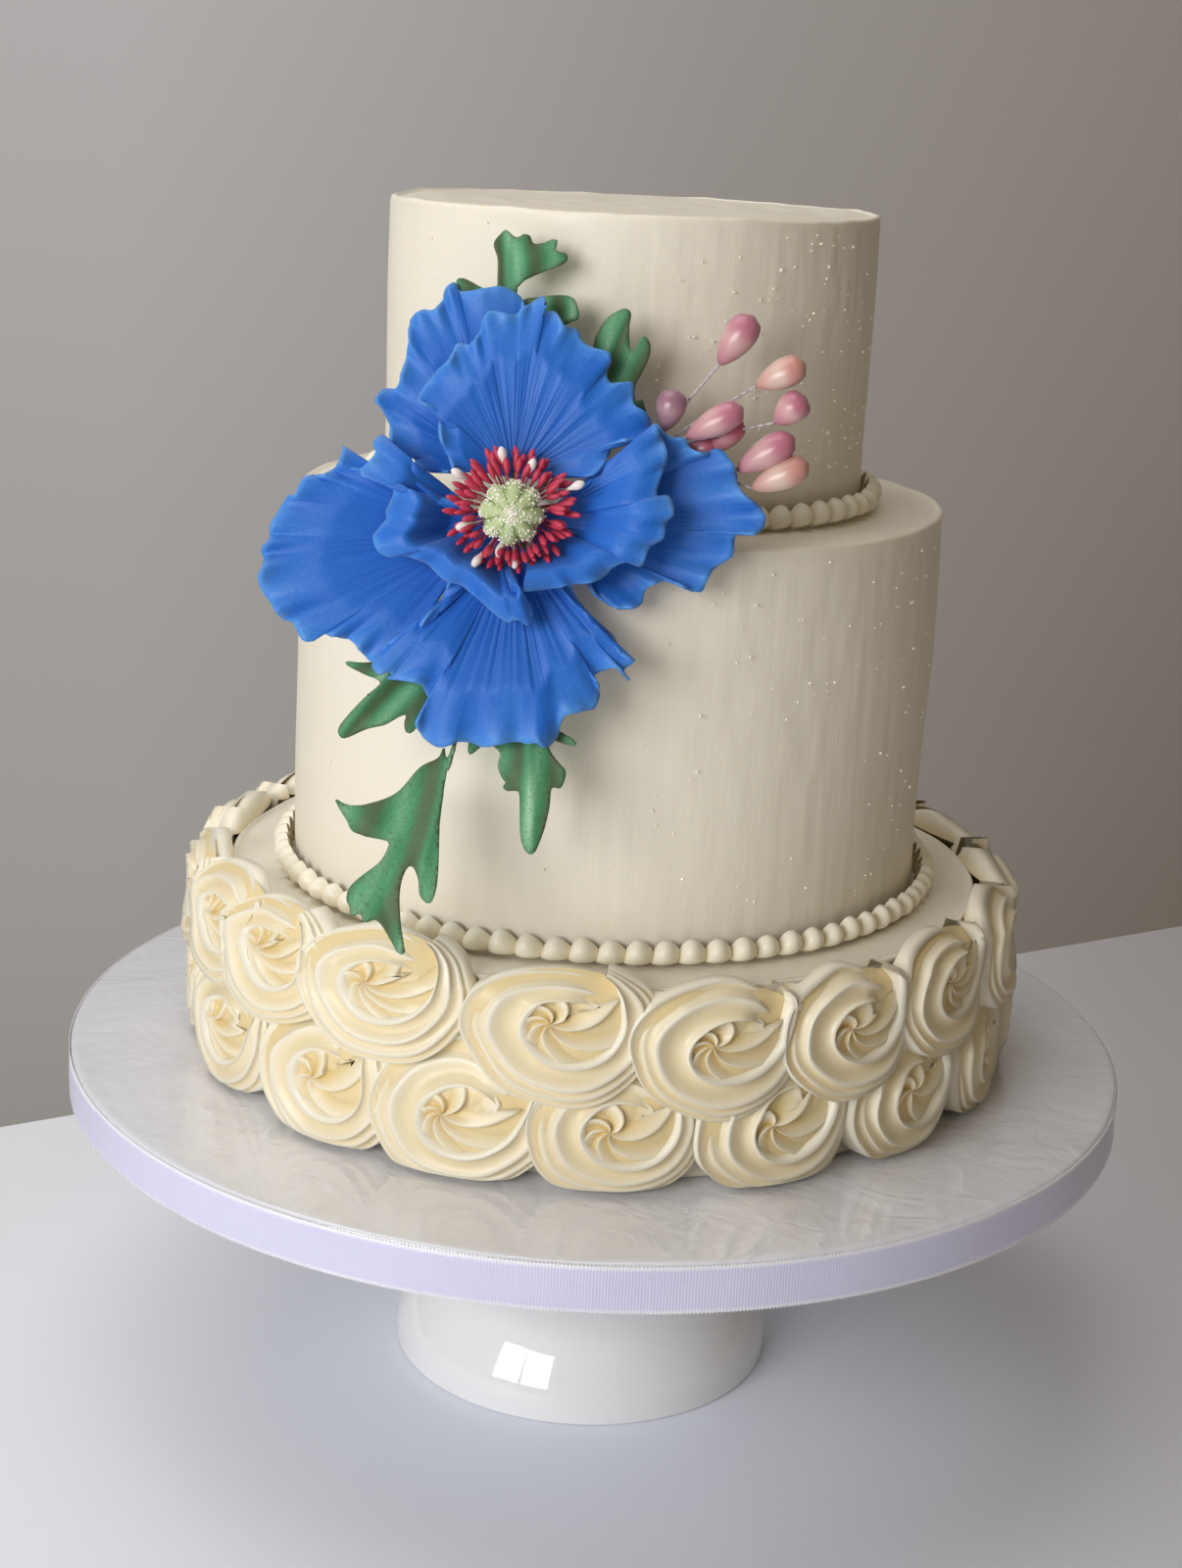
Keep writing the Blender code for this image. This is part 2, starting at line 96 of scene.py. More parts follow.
def ramp(tree, source, stops):
    """A colour ramp over (position, colour code) stops."""
    made = add(tree, "ValToRGB", links={"Fac": source})
    elements = made.color_ramp.elements
    while len(elements) < len(stops):
        elements.new(0.5)
    for element, (position, code) in zip(elements, stops):
        element.position = position
        element.color = colour(code)
    return made.outputs["Color"]


def build(name, points, faces, material, smooth=True):
    """A named mesh object from points in metres."""
    mesh = bpy.data.meshes.new(name)
    mesh.from_pydata([tuple(p) for p in points], [], [tuple(f) for f in faces])
    if smooth:
        mesh.shade_smooth()
    mesh.materials.append(material)
    piece = bpy.data.objects.new(name, mesh)
    bpy.context.scene.collection.objects.link(piece)
    return piece


def mark(piece, name, values):
    """Store one number for each point, for the material to read."""
    layer = piece.data.attributes.new(name, "FLOAT", "POINT")
    layer.data.foreach_set("value", np.asarray(values, dtype=np.float32))


def shade_falloff_paint(name, roughness, left, right, stops):
    """Paint that darkens from left to right, away from the window: a painted shade for the window light's
    falloff, cool where lit and warmer in the shade.
    """
    material, tree, shader = new_material(name, Roughness=roughness)
    place = add(tree, "SeparateXYZ", links={"Vector": add(tree, "TexCoord").outputs["Object"]})
    fade = add(tree, "MapRange", {"From Min": left, "From Max": right}, {"Value": place.outputs["X"]})
    tree.links.new(ramp(tree, fade.outputs[0], stops), shader.inputs["Base Color"])
    return material


# painted light and shade: cool bright white at the left where the window falls, darker warm grey to the right
painted_falloff_table = shade_falloff_paint("white table with painted falloff", 0.5, -0.25, 0.4,
                           [(0.0, "F4F8FF"), (0.45, "F0F4FF"), (0.75, "CFCFD6"), (1.0, "BDBBBF")])
# painted light and shade: bluish pale grey at the left, darker warm grey to the right, away from the window
painted_falloff_wall = shade_falloff_paint("grey wall with painted falloff", 0.85, -0.5, 0.65,
                          [(0.0, "E2E5EE"), (0.5, "C6C4C8"), (1.0, "B2ADAD")])

back_left, back_right = Vector((-0.246, 0.145)), Vector((0.321, 0.483))       # the table's far edge
edge_way = (back_right - back_left).normalized()
table_corners = [back_left - edge_way * 3.0, back_right + edge_way * 3.0,
                 Vector((3.0, -3.0)), Vector((-3.0, -3.0))]
table_points = [(*c, z) for z in (0.0, -0.03) for c in table_corners]
table_faces = [(3, 2, 1, 0), (4, 5, 6, 7)] + [(k, (k + 1) % 4, 4 + (k + 1) % 4, 4 + k) for k in range(4)]
table = build("table", table_points, table_faces, painted_falloff_table, smooth=False)
wall_points = [(-4.0, 1.6, -1.5), (4.0, 1.6, -1.5), (4.0, 1.6, 3.0), (-4.0, 1.6, 3.0)]
wall = build("wall", wall_points, [(0, 1, 2, 3)], painted_falloff_wall)


def lamp(name, place, target, size, watts):
    """A rectangular area lamp turned to face a target."""
    light = bpy.data.lights.new(name, "AREA")
    light.shape = "RECTANGLE"
    light.size, light.size_y = size
    light.energy = watts
    made = bpy.data.objects.new(name, light)
    bpy.context.scene.collection.objects.link(made)
    made.location = place
    made.rotation_mode = "QUATERNION"
    made.rotation_quaternion = (Vector(target) - Vector(place)).to_track_quat("-Z", "Y")


lamp("window_left_pane", (-1.3, -1.4, 0.75), (0.0, 0.0, 0.18), (0.55, 0.8), 11.8)
lamp("window_right_pane", (-0.8, -1.72, 0.75), (0.0, 0.0, 0.18), (0.55, 0.8), 11.8)
lamp("sky", (-0.5, 0.1, 1.9), (0.0, 0.0, 0.1), (1.6, 1.6), 15.0)
world = bpy.data.worlds.new("dim room")
world.use_nodes = True
world.node_tree.nodes["Background"].inputs["Color"].default_value = colour("D8C4A0")
world.node_tree.nodes["Background"].inputs["Strength"].default_value = 0.27
bpy.context.scene.world = world

# ---- Pedestal stand: slip-cast stoneware under a thick white glaze ----
# A flat plate hidden under the board, a waisted stem and a bell foot, fired in one piece.
# The glaze gives sharp window reflections over a faintly uneven surface.


def turned(name, profile, sides, material, stray=None):
    """Turn (radius, height) points in metres round the upright axis, poles closed."""
    points, faces, rings = [], [], []
    for radius, height in profile:
        if radius == 0.0:
            rings.append([len(points)] * sides)
            points.append((0.0, 0.0, height))
            continue
        rings.append(list(range(len(points), len(points) + sides)))
        for k in range(sides):
            angle = TURN * k / sides
            dr, dz = stray(angle, radius, height) if stray else (0.0, 0.0)
            points.append(((radius + dr) * math.cos(angle), (radius + dr) * math.sin(angle), height + dz))
    for low, high in zip(rings, rings[1:]):
        for k in range(sides):
            j = (k + 1) % sides
            faces.append(list(dict.fromkeys((low[k], low[j], high[j], high[k]))))
    return build(name, points, faces, material)


def smoothed(points, steps):
    """A Catmull-Rom curve through the points, with steps places to each stretch."""
    pts = [np.array(p, dtype=float) for p in points]
    pts = [2 * pts[0] - pts[1]] + pts + [2 * pts[-1] - pts[-2]]
    curve = []
    for a, b, c, d in zip(pts, pts[1:], pts[2:], pts[3:]):
        for t in np.arange(steps) / steps:
            curve.append(0.5 * (2 * b + (c - a) * t + (2 * a - 5 * b + 4 * c - d) * t ** 2
                                + (3 * b - a - 3 * c + d) * t ** 3))
    curve.append(pts[-2])
    return [tuple(float(x) for x in p) for p in curve]


white_glaze, tree, shader = new_material("white stoneware glaze", Base_Color=colour("EEEFF2"),
                                         Roughness=0.07, IOR=1.5, Coat_Weight=0.4, Coat_Roughness=0.04)
ripple = add(tree, "TexNoise", {"Scale": 25.0, "Detail": 1.0})       # 40 mm pooling of the glaze
bump = add(tree, "Bump", {"Strength": 0.06, "Distance": 0.001}, {"Height": ripple.outputs[0]})
tree.links.new(bump.outputs[0], shader.inputs["Normal"])

stand_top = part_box("stand")[1].z
foot_radius = 0.0656
bell = [(foot_radius - 0.0075, 0.0), (foot_radius - 0.0012, 0.0), (foot_radius, 0.0020),
        (foot_radius - 0.0014, 0.012), (foot_radius - 0.011, 0.028), (foot_radius - 0.0295, 0.041),
        (0.0240, 0.058), (0.0278, 0.082), (0.056, 0.0945), (0.1388, 0.0985), (0.1400, 0.1003),
        (0.1392, stand_top - 0.0003)]
stand_profile = [(0.0, 0.003), (foot_radius - 0.008, 0.003)] + smoothed(bell, 6) + [(0.0, stand_top)]
stand = turned("pedestal", stand_profile, 160, white_glaze)
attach(stand, "root")
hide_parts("stand")

# ---- Drum board: thick card wrapped in glossy white cover paper ----
# The wrapper lies in faint waves, with one hard crease at the right where it was folded.

board_low, board_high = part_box("board")
board_top, board_radius = board_high.z, board_high.x
cover_paper, tree, shader = new_material("glossy white cover paper", Base_Color=colour("DFE2EC"),
                                         Roughness=0.16, IOR=1.5, Coat_Weight=1.0, Coat_Roughness=0.05)
place = add(tree, "TexCoord").outputs["Object"]
waves = add(tree, "TexNoise", {"Scale": 14.0, "Detail": 3.0, "Distortion": 1.2}, {"Vector": place})
folds = add(tree, "TexNoise", {"Scale": 55.0, "Detail": 2.0, "Distortion": 2.5}, {"Vector": place})
both = add(tree, "Math", {"operation": "MULTIPLY_ADD", 1: 0.25}, {0: folds.outputs[0], 2: waves.outputs[0]})
bump = add(tree, "Bump", {"Strength": 0.35, "Distance": 0.004}, {"Height": both.outputs[0]})
tree.links.new(bump.outputs[0], shader.inputs["Normal"])
tree.links.new(bump.outputs[0], shader.inputs["Coat Normal"])
tint = ramp(tree, waves.outputs[0], [(0.35, "DADCE5"), (0.6, "E2E4EE")])
tree.links.new(tint, shader.inputs["Base Color"])


def board_waves(angle, radius, height):
    """Small swells of the wrapper, and a sharp fold that crosses the edge at the right."""
    if height < board_top - 0.002:
        return 0.0, 0.0
    x, y = radius * math.cos(angle), radius * math.sin(angle)
    swell = math.sin(38.0 * x + 9.0 * y) * math.sin(31.0 * y - 14.0 * x + 1.0)
    across = (x - 0.150) * 0.35 + (y + 0.062) * 0.94
    crease = math.exp(-(across / 0.0012) ** 2) * (1.0 if x > 0.122 and y > -0.085 else 0.0)
    return 0.0, -0.0004 + 0.00022 * swell + 0.0004 * crease


board_profile = [(0.0, board_low.z), (board_radius, board_low.z), (board_radius, board_top - 0.0015)]
board_profile += [(board_radius - 0.0015 + 0.0015 * math.cos(a), board_top - 0.0015 + 0.0015 * math.sin(a))
                  for a in np.linspace(0.3, math.pi / 2, 4)]
board_profile += [(r, board_top) for r in np.linspace(board_radius - 0.003, 0.11, 70)] + [(0.0, board_top)]
board = turned("drum_board", board_profile, 360, cover_paper, board_waves)
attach(board, "root")
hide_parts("board")

# ---- Ribbon: 15 mm lilac polyester satin, woven with a looped picot edge ----
# Glued round the board; it buckles a little and its free end laps over at the left.

ribbon_low, ribbon_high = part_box("ribbon")
ribbon_radius = ribbon_high.x
satin, tree, shader = new_material("lilac polyester satin", Base_Color=colour("DADBF4"), Roughness=0.3,
                                   Sheen_Weight=0.35, Sheen_Roughness=0.35, Anisotropic=0.5)
along = add(tree, "Attribute", {"attribute_name": "along"}).outputs["Fac"]
height = add(tree, "Attribute", {"attribute_name": "height"}).outputs["Fac"]
ribs = add(tree, "Math", {"operation": "MULTIPLY", 1: TURN / 0.0009}, {0: along})     # 0.9 mm ribs
rib_wave = add(tree, "Math", {"operation": "SINE"}, {0: ribs.outputs[0]})
slub = add(tree, "TexNoise", {"Scale": 40.0, "Detail": 2.0, "Roughness": 0.4})
relief = add(tree, "Math", {"operation": "MULTIPLY_ADD", 1: 0.12},
             {0: rib_wave.outputs[0], 2: slub.outputs[0]})
bump = add(tree, "Bump", {"Strength": 0.25, "Distance": 0.0012}, {"Height": relief.outputs[0]})
tree.links.new(bump.outputs[0], shader.inputs["Normal"])
selvedge = ramp(tree, height, [(0.0, "F4F4FC"), (0.05, "E6E6F8"), (0.09, "D6D6F2"), (0.91, "D6D6F2"),
                               (0.95, "E6E6F8"), (1.0, "F4F4FC")])
tree.links.new(selvedge, shader.inputs["Base Color"])


def ribbon_strip(name, start, length, radius, low, high):
    """A band round the board from a start angle, as a thin sheet with buckles and loops."""
    columns = int(length * radius / 0.0011)
    levels = np.linspace(0.0, 1.0, 9)
    points, faces, along, heights = [], [], [], []
    for i in range(columns + 1):
        angle = start + length * i / columns
        buckle = 0.00022 * (math.sin(11.0 * angle + 1.0) + math.sin(23.0 * angle) * math.sin(3.0 * angle))
        for s in levels:
            r = radius - 0.0003 + buckle * math.sin(math.pi * s) - 0.00022
            points.append((r * math.cos(angle), r * math.sin(angle), low + (high - low) * s))
            along.append(angle * radius)
            heights.append(s)
    rows = len(levels)
    for i in range(columns):
        for k in range(rows - 1):
            a = i * rows + k
            faces.append((a, a + rows, a + rows + 1, a + 1))
    for edge, out in ((0, -1.0), (rows - 1, 1.0)):                # picot loops, one to each column
        for i in range(0, columns - 1, 1):
            a, b = i * rows + edge, (i + 1) * rows + edge
            pa, pb = np.array(points[a]), np.array(points[b])
            tip = pa * 0.5 + pb * 0.5 + np.array((0.0, 0.0, out * 0.00055))
            points.append(tuple(tip))
            along.append(along[a])
            heights.append(heights[a])
            faces.append((a, b, len(points) - 1) if out > 0 else (b, a, len(points) - 1))
    strip = build(name, points, faces, satin)
    mark(strip, "along", along)
    mark(strip, "height", heights)
    thicken = strip.modifiers.new("thickness", "SOLIDIFY")
    thicken.thickness = 0.00025
    return strip


ribbon_span = (ribbon_low.z + 0.0006, ribbon_high.z - 0.0006)
band = ribbon_strip("ribbon_band", 0.0, TURN, ribbon_radius, *ribbon_span)
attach(band, "root")
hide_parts("ribbon")
tail = ribbon_strip("ribbon_end", math.radians(196.0), math.radians(14.0), ribbon_radius + 0.0002,
                    ribbon_span[0] - 0.0001, ribbon_span[1] - 0.0005)
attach(tail, "root")

# ---- Tiers: cake under ivory buttercream, scraped smooth with a metal spatula ----
# The sides keep faint upright drags, the rims a thin ragged lip; butter gives a soft sheen.


def buttercream(name, light, deep, grain, gloss):
    """Buttercream: warmer and yellower in its hollows, a painted shade for the shade and bounced light there,
    with a satin surface.
    """
    material, tree, shader = new_material(name, Roughness=gloss, IOR=1.45, Subsurface_Weight=0.12,
                                          Subsurface_Scale=0.002)
    shader.inputs["Subsurface Radius"].default_value = (1.0, 0.7, 0.4)
    hollow_shade = add(tree, "Attribute", {"attribute_name": "hollow_shade"}).outputs["Fac"]
    drift = add(tree, "TexNoise", {"Scale": 30.0, "Detail": 2.0})
    # painted shade: the marked hollows move the colour from the light one towards the deep, yellower one
    amount = add(tree, "Math", {"operation": "MULTIPLY_ADD", 1: 0.16}, {0: drift.outputs[0], 2: hollow_shade})
    tint = ramp(tree, amount.outputs[0], [(0.08, light), (1.0, deep)])
    tree.links.new(tint, shader.inputs["Base Color"])
    place = add(tree, "TexCoord").outputs["Object"]
    stretched = add(tree, "Mapping", {"Scale": (1.0, 1.0, 0.12)}, {"Vector": place})
    drags = add(tree, "TexNoise", {"Scale": 260.0, "Detail": 3.0, "Roughness": 0.6},
                {"Vector": stretched.outputs[0]})
    bump = add(tree, "Bump", {"Strength": grain, "Distance": 0.0006}, {"Height": drags.outputs[0]})
    tree.links.new(bump.outputs[0], shader.inputs["Normal"])
    uneven = add(tree, "MapRange", {"To Min": gloss - 0.08, "To Max": gloss + 0.12},
                 {"Value": drift.outputs[0]})
    tree.links.new(uneven.outputs[0], shader.inputs["Roughness"])
    return material


scraped_cream = buttercream("scraped ivory buttercream", "F0EADB", "E4D6B4", 0.28, 0.42)


def soft_step(x, low, high):
    t = np.clip((x - low) / (high - low), 0.0, 1.0)
    return t * t * (3.0 - 2.0 * t)


def make_tier(name, node, radius, seed):
    low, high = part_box(node)
    rng = np.random.default_rng(seed)
    phases = rng.uniform(0.0, TURN, 24)
    lattice = rng.normal(0.0, 1.0, (170, 9))                  # spatula drags, 3 to 5 mm wide
    lip_waves = [(k, 0.45 / math.sqrt(k)) for k in (3, 5, 8, 13, 21, 34)]

    def stray(angle, r, height):
        top = (height - low.z) / (high.z - low.z)
        lip = sum(size * math.sin(k * angle + phases[i]) for i, (k, size) in enumerate(lip_waves))
        if r > radius - 0.006 and top > 0.97:
            return -0.0009 + 0.0004 * lip, -0.0008 + 0.0007 * lip - (0.0004 if r < radius - 0.002 else 0.0)
        drag = sum(math.sin(k * angle + phases[i + 6] + 0.8 * math.sin(5.0 * top + phases[i])) / k ** 0.8
                   for i, k in enumerate((7, 16, 29, 47, 71, 103, 139)))
        dent = math.sin(3.0 * angle + phases[20]) * math.sin(2.2 * math.pi * top + phases[21])
        if r < radius - 0.002:
            ring = math.sin(r * 420.0 + 2.0 * math.sin(angle + phases[3]))
            return 0.0, -0.0011 + 0.00018 * ring + 0.00022 * math.sin(5 * angle + r * 90.0)
        column, row = (angle / TURN) % 1.0 * 170.0, min(max(top, 0.0), 1.0) * 7.99
        c, r0 = int(column), int(row)
        s, t = soft_step(column - c, 0.0, 1.0), soft_step(row - r0, 0.0, 1.0)
        left = lattice[c % 170, r0] * (1 - t) + lattice[c % 170, r0 + 1] * t
        right = lattice[(c + 1) % 170, r0] * (1 - t) + lattice[(c + 1) % 170, r0 + 1] * t
        streak = left * (1 - s) + right * s
        rough = 0.4 + 0.6 * soft_step(math.cos(angle + 0.7), 0.1, 0.9)
        return -0.0009 + 0.0001 * drag + 0.0006 * dent + 0.00008 * streak * rough, 0.0

    side = [(radius, z) for z in np.linspace(low.z, high.z - 0.0016, 46)]
    rim = [(radius - 0.0012 + 0.0012 * math.cos(a), high.z - 0.0012 + 0.0012 * math.sin(a))
           for a in np.linspace(0.2, math.pi * 0.75, 6)]
    top = [(r, high.z) for r in np.linspace(radius - 0.004, radius * 0.1, 40)]
    profile = [(0.0, low.z)] + side + rim + top + [(0.0, high.z - 0.001)]
    tier = turned(name, profile, 480, scraped_cream, stray)
    mark(tier, "hollow_shade", np.zeros(len(tier.data.vertices)))
    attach(tier, "root")
    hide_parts(node)


make_tier("bottom_tier", "tier_bottom", 0.1255, 1)
make_tier("middle_tier", "tier_middle", 0.1045, 2)
make_tier("top_tier", "tier_top", 0.0776, 3)

# ---- Bead borders: buttercream pressed out of a small round tube ----
# Each bead swells, is pulled to one side and pinched off under the next.

# the deep colour here is the painted shade of the hollows in the beads and rosettes
piped_cream = buttercream("piped ivory buttercream", "F3EEDD", "E4C98A", 0.05, 0.32)
BEAD_PITCH = 0.0083


def make_border(name, node, inner, seed):
    low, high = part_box(node)
    depth, height = high.x - inner, high.z - low.z
    count = round(TURN * (inner + depth / 2) / BEAD_PITCH)
    rng = np.random.default_rng(seed)
    rows, sides = 12, 14
    points, faces, hollow_shade = [], [], []
    for i in range(count):
        centre = TURN * i / count
        size = rng.uniform(0.88, 1.0)
        squash = rng.uniform(0.9, 1.0)
        lean = rng.uniform(0.1, 0.35)
        first = len(points)
        for row in range(rows + 1):
            t = row / rows                                    # along the bead, tail to head
            across = math.sin(math.pi * t ** 0.75) ** 0.62
            for k in range(sides):
                a = math.pi * (k / (sides - 1)) * 1.15 - 0.12 * math.pi
                r = inner + depth * size * across * (0.42 + 0.58 * math.sin(a)) - 0.0002
                z = low.z + height * squash * across * (0.47 - 0.53 * math.cos(a)) - 0.0001
                angle = centre + (t - 0.5 + lean * 0.4 * (k / sides - 0.5)) * 1.22 * BEAD_PITCH / inner
                points.append((r * math.cos(angle), r * math.sin(angle), max(z, low.z - 0.0004)))
                # painted shade: darker and yellower towards each bead's pinched ends, where it meets the next
                hollow_shade.append(0.75 * (1.0 - across) ** 1.5)
        for row in range(rows):
            for k in range(sides - 1):
                a = first + row * sides + k
                faces.append((a, a + sides, a + sides + 1, a + 1))
    border = build(name, points, faces, piped_cream)
    mark(border, "hollow_shade", hollow_shade)
    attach(border, "root")
    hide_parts(node)


make_border("beads_middle", "border_middle", 0.1044, 5)
make_border("beads_top", "border_top", 0.0775, 6)

# ---- Rosettes: stiff buttercream swirled from an open star tube ----
# Each starts at its centre and winds outward anticlockwise; the tube's teeth leave sharp
# ridges with hollows between them. Every rosette laps over the one on its left, and the
# upper row over the lower.

FACE = 0.136                       # radius at which widths are measured
WALL = 0.1266
UPPER_LEVEL = board_top + 0.051
LOWER_LEVEL = board_top + 0.020
UPPER = ((-61, -47, -28, -4, 16, 34.5, 53), (24.5, 24.0, 25.5, 25.5, 24.5, 23.5, 24.0), 18)
UPPER_RAISED = (0.005, 0.0035, 0.005, 0.0, -0.005, -0.0045, 0.0)       # each one off the row's level
LOWER = ((-60, -36.5, -16.7, 3.4, 24.5, 45.5, 66), (24.0, 24.5, 25.5, 24.0, 24.5, 23.5, 23.0), 17)
LIMIT = 0.0158                     # the deepest that any rosette stands off the wall
RIM_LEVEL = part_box("tier_bottom")[1].z


def row_places(shown, reaches, count):
    """Azimuth and reach of each rosette: those piped by eye first, then even ones behind."""
    hidden = count - len(shown)
    step = (360.0 - (shown[-1] - shown[0])) / (hidden + 1)
    azimuths = list(shown) + [shown[-1] + step * (k + 1) for k in range(hidden)]
    return list(zip(azimuths, [r * 0.001 for r in list(reaches) + [24.0] * hidden]))


def evened(places, values, at, width=9):
    """Values at places, joined by lines and then rounded off."""
    line = np.interp(at, places, values)
    kernel = np.hanning(width + 2)[1:-1]
    return np.convolve(np.pad(line, width // 2, mode="edge"), kernel / kernel.sum(), "valid")


def grid_faces(rows, columns, first, closed):
    faces = []
    for i in range(rows - 1):
        for k in range(columns if closed else columns - 1):
            a, b = first + i * columns + k, first + i * columns + (k + 1) % columns
            faces.append((a, b, b + columns, a + columns))
    return faces


def make_rosette(name, node, azimuth, reach, level, upper, seed):
    """A throat of curled folds, and round it one broad band that winds out to a pulled tail."""
    rng = np.random.default_rng(seed)
    wide_reach, tall_reach = (1.13, 0.88) if upper else (1.10, 0.95)
    tall_reach *= rng.uniform(0.97, 1.03)
    depth_scale = rng.uniform(0.95, 1.02)
    rim = RIM_LEVEL - level                                # above it the icing leans in over the rim
    peak_size = 0.6 if 10 < azimuth < 48 else rng.uniform(0.0, 0.2)

    def on_wall(x, z, depth):
        side, rise = x / reach, z / reach
        share = np.minimum(np.hypot(side, rise), 1.0)
        depth = depth * depth_scale - 0.0016 * share * (side + side * np.abs(side)) * 0.8
        if upper:
            depth = depth + 0.0040 * soft_step(-rise, 0.2, 0.9)
        else:
            depth = depth * (1.0 - 0.5 * soft_step(rise, 0.15, 0.8))
            floor = board_top - level + 0.0004
            z = np.where(z < floor + 0.003, floor + 0.003 * np.exp((z - floor - 0.003) / 0.003), z)
        depth = np.maximum(depth, 0.0012)
        eased = LIMIT - 0.002 * np.exp(-(depth - LIMIT + 0.002) / 0.002)
        depth = np.where(depth > LIMIT - 0.002, eased, depth)
        over = np.maximum(z - rim + 0.002, 0.0)
        theta, radius = math.radians(azimuth) + x / FACE, WALL + depth - 0.35 * over
        return np.stack([radius * np.sin(theta), -radius * np.cos(theta), level + z - 0.38 * over], -1)

    # The band: progress runs once round from the upper right, anticlockwise, to the tail.
    steps = 128
    progress = np.linspace(0.0, 1.07, steps)
    angle = math.radians(28.0 + rng.uniform(-14.0, 18.0)) + TURN * progress
    outer = evened([0, 0.07, 0.18, 0.32, 0.5, 0.8, 0.95, 1.02, 1.07],
                   [0.70, 0.80, 0.93, 1.0, 1.0, 1.0, 1.0, 1.03, 1.08], progress)
    inner = evened([0, 0.12, 0.3, 0.5, 0.7, 0.85, 0.97, 1.03, 1.07],
                   [0.46, 0.42, 0.36, 0.38, 0.46, 0.56, 0.70, 0.88, 1.04], progress)
    outer = outer * (1.0 + 0.02 * np.sin(3.0 * angle + seed) + 0.012 * np.sin(7.0 * angle + 2.0 * seed))
    inner = inner * (1.0 + 0.04 * np.sin(2.0 * angle + 3.0 * seed))
    third = soft_step(progress, 0.30, 0.55)
    second = rng.uniform(0.44, 0.56)
    third_at = second + (1.0 - second) * rng.uniform(0.45, 0.6)
    across = np.concatenate([[-0.14, -0.05], np.linspace(0.0, second, 11)[:-1],
                             np.linspace(second, third_at, 8)[:-1],
                             np.linspace(third_at, 1.0, 8), [1.03, 1.05]])
    first_gap = np.sin(math.pi * np.clip(across / second, 0, 1)) ** 0.75
    whole_gap = np.sin(math.pi * np.clip((across - second) / (1 - second), 0, 1)) ** 0.75
    split_gap = (np.sin(math.pi * np.clip((across - second) / (third_at - second), 0, 1)) ** 0.75
                 + np.sin(math.pi * np.clip((across - third_at) / (1 - third_at), 0, 1)) ** 0.75)
    width = (outer - inner)[:, None]
    sag = (np.clip(width / 0.58, 0.25, 1.1) * (0.0024 * first_gap + (1 - third[:, None]) * 0.0026 * whole_gap
                                               + third[:, None] * 0.0019 * split_gap))
    ridge_line = np.interp(across, [-0.14, -0.05, 0.0, second, 1.0, 1.05],
                           [6.5, 10.6, 13.4, 12.2, 9.0, 3.0]) * 0.001
    ends = soft_step(progress, 0.0, 0.13)[:, None]
    pull = soft_step(progress, 0.93, 1.07)[:, None]
    depth = ridge_line[None, :] - sag - 0.0035 * (1.0 - ends) + 0.0012 * pull
    nearness = (np.exp(-((across[None, :] - 0.015) / 0.05) ** 2)
                + np.exp(-((across - second) / 0.05) ** 2)[None, :])
    nearness = nearness + np.exp(-((across - third_at) / 0.04) ** 2)[None, :] * third[:, None]
    out = reach * (inner[:, None] + width * across[None, :]) + 0.0008 * nearness
    high = np.exp(-((progress - 0.16) / 0.07) ** 2)[:, None] * soft_step(across, 0.1, 0.9)[None, :]
    x = wide_reach * out * np.cos(angle)[:, None]
    z = tall_reach * out * np.sin(angle)[:, None] + (0.0050 * peak_size * high if upper else 0.0)
    # painted shade: darker and yellower in the hollows between the ridges
    hollow_shade = np.clip((first_gap * 0.85)[None, :] + (1 - third[:, None]) * 0.75 * whole_gap
                     + third[:, None] * 0.8 * split_gap, 0, 1) * np.clip(width / 0.5, 0.4, 1.0) * 0.62
    points = [on_wall(x, z, depth).reshape(-1, 3)]
    hollows = [hollow_shade.reshape(-1)]
    faces = grid_faces(steps, len(across), 0, False)

    # The rosette's outer edge drops back to the wall, or to the tier's top above the rim.
    edge = points[0].reshape(steps, len(across), 3)[:, -1]
    drop_angle = np.arctan2(edge[:, 0], -edge[:, 1])
    above = edge[:, 2] > RIM_LEVEL
    edge_radius = np.hypot(edge[:, 0], edge[:, 1])
    drop_radius = np.where(above, np.minimum(edge_radius - 0.0015, WALL + 0.004), WALL - 0.0004)
    drop_z = np.minimum(edge[:, 2], RIM_LEVEL - 0.0008)
    start = steps * len(across)
    points.append(np.stack([drop_radius * np.sin(drop_angle), -drop_radius * np.cos(drop_angle), drop_z], -1))
    # painted shade where the rosette's edge drops back to the wall
    hollows.append(np.full(steps, 0.5))
    for i in range(steps - 1):
        a, b = i * len(across) + len(across) - 1, (i + 1) * len(across) + len(across) - 1
        faces.append((a, b, start + i + 1, start + i))
    start += steps

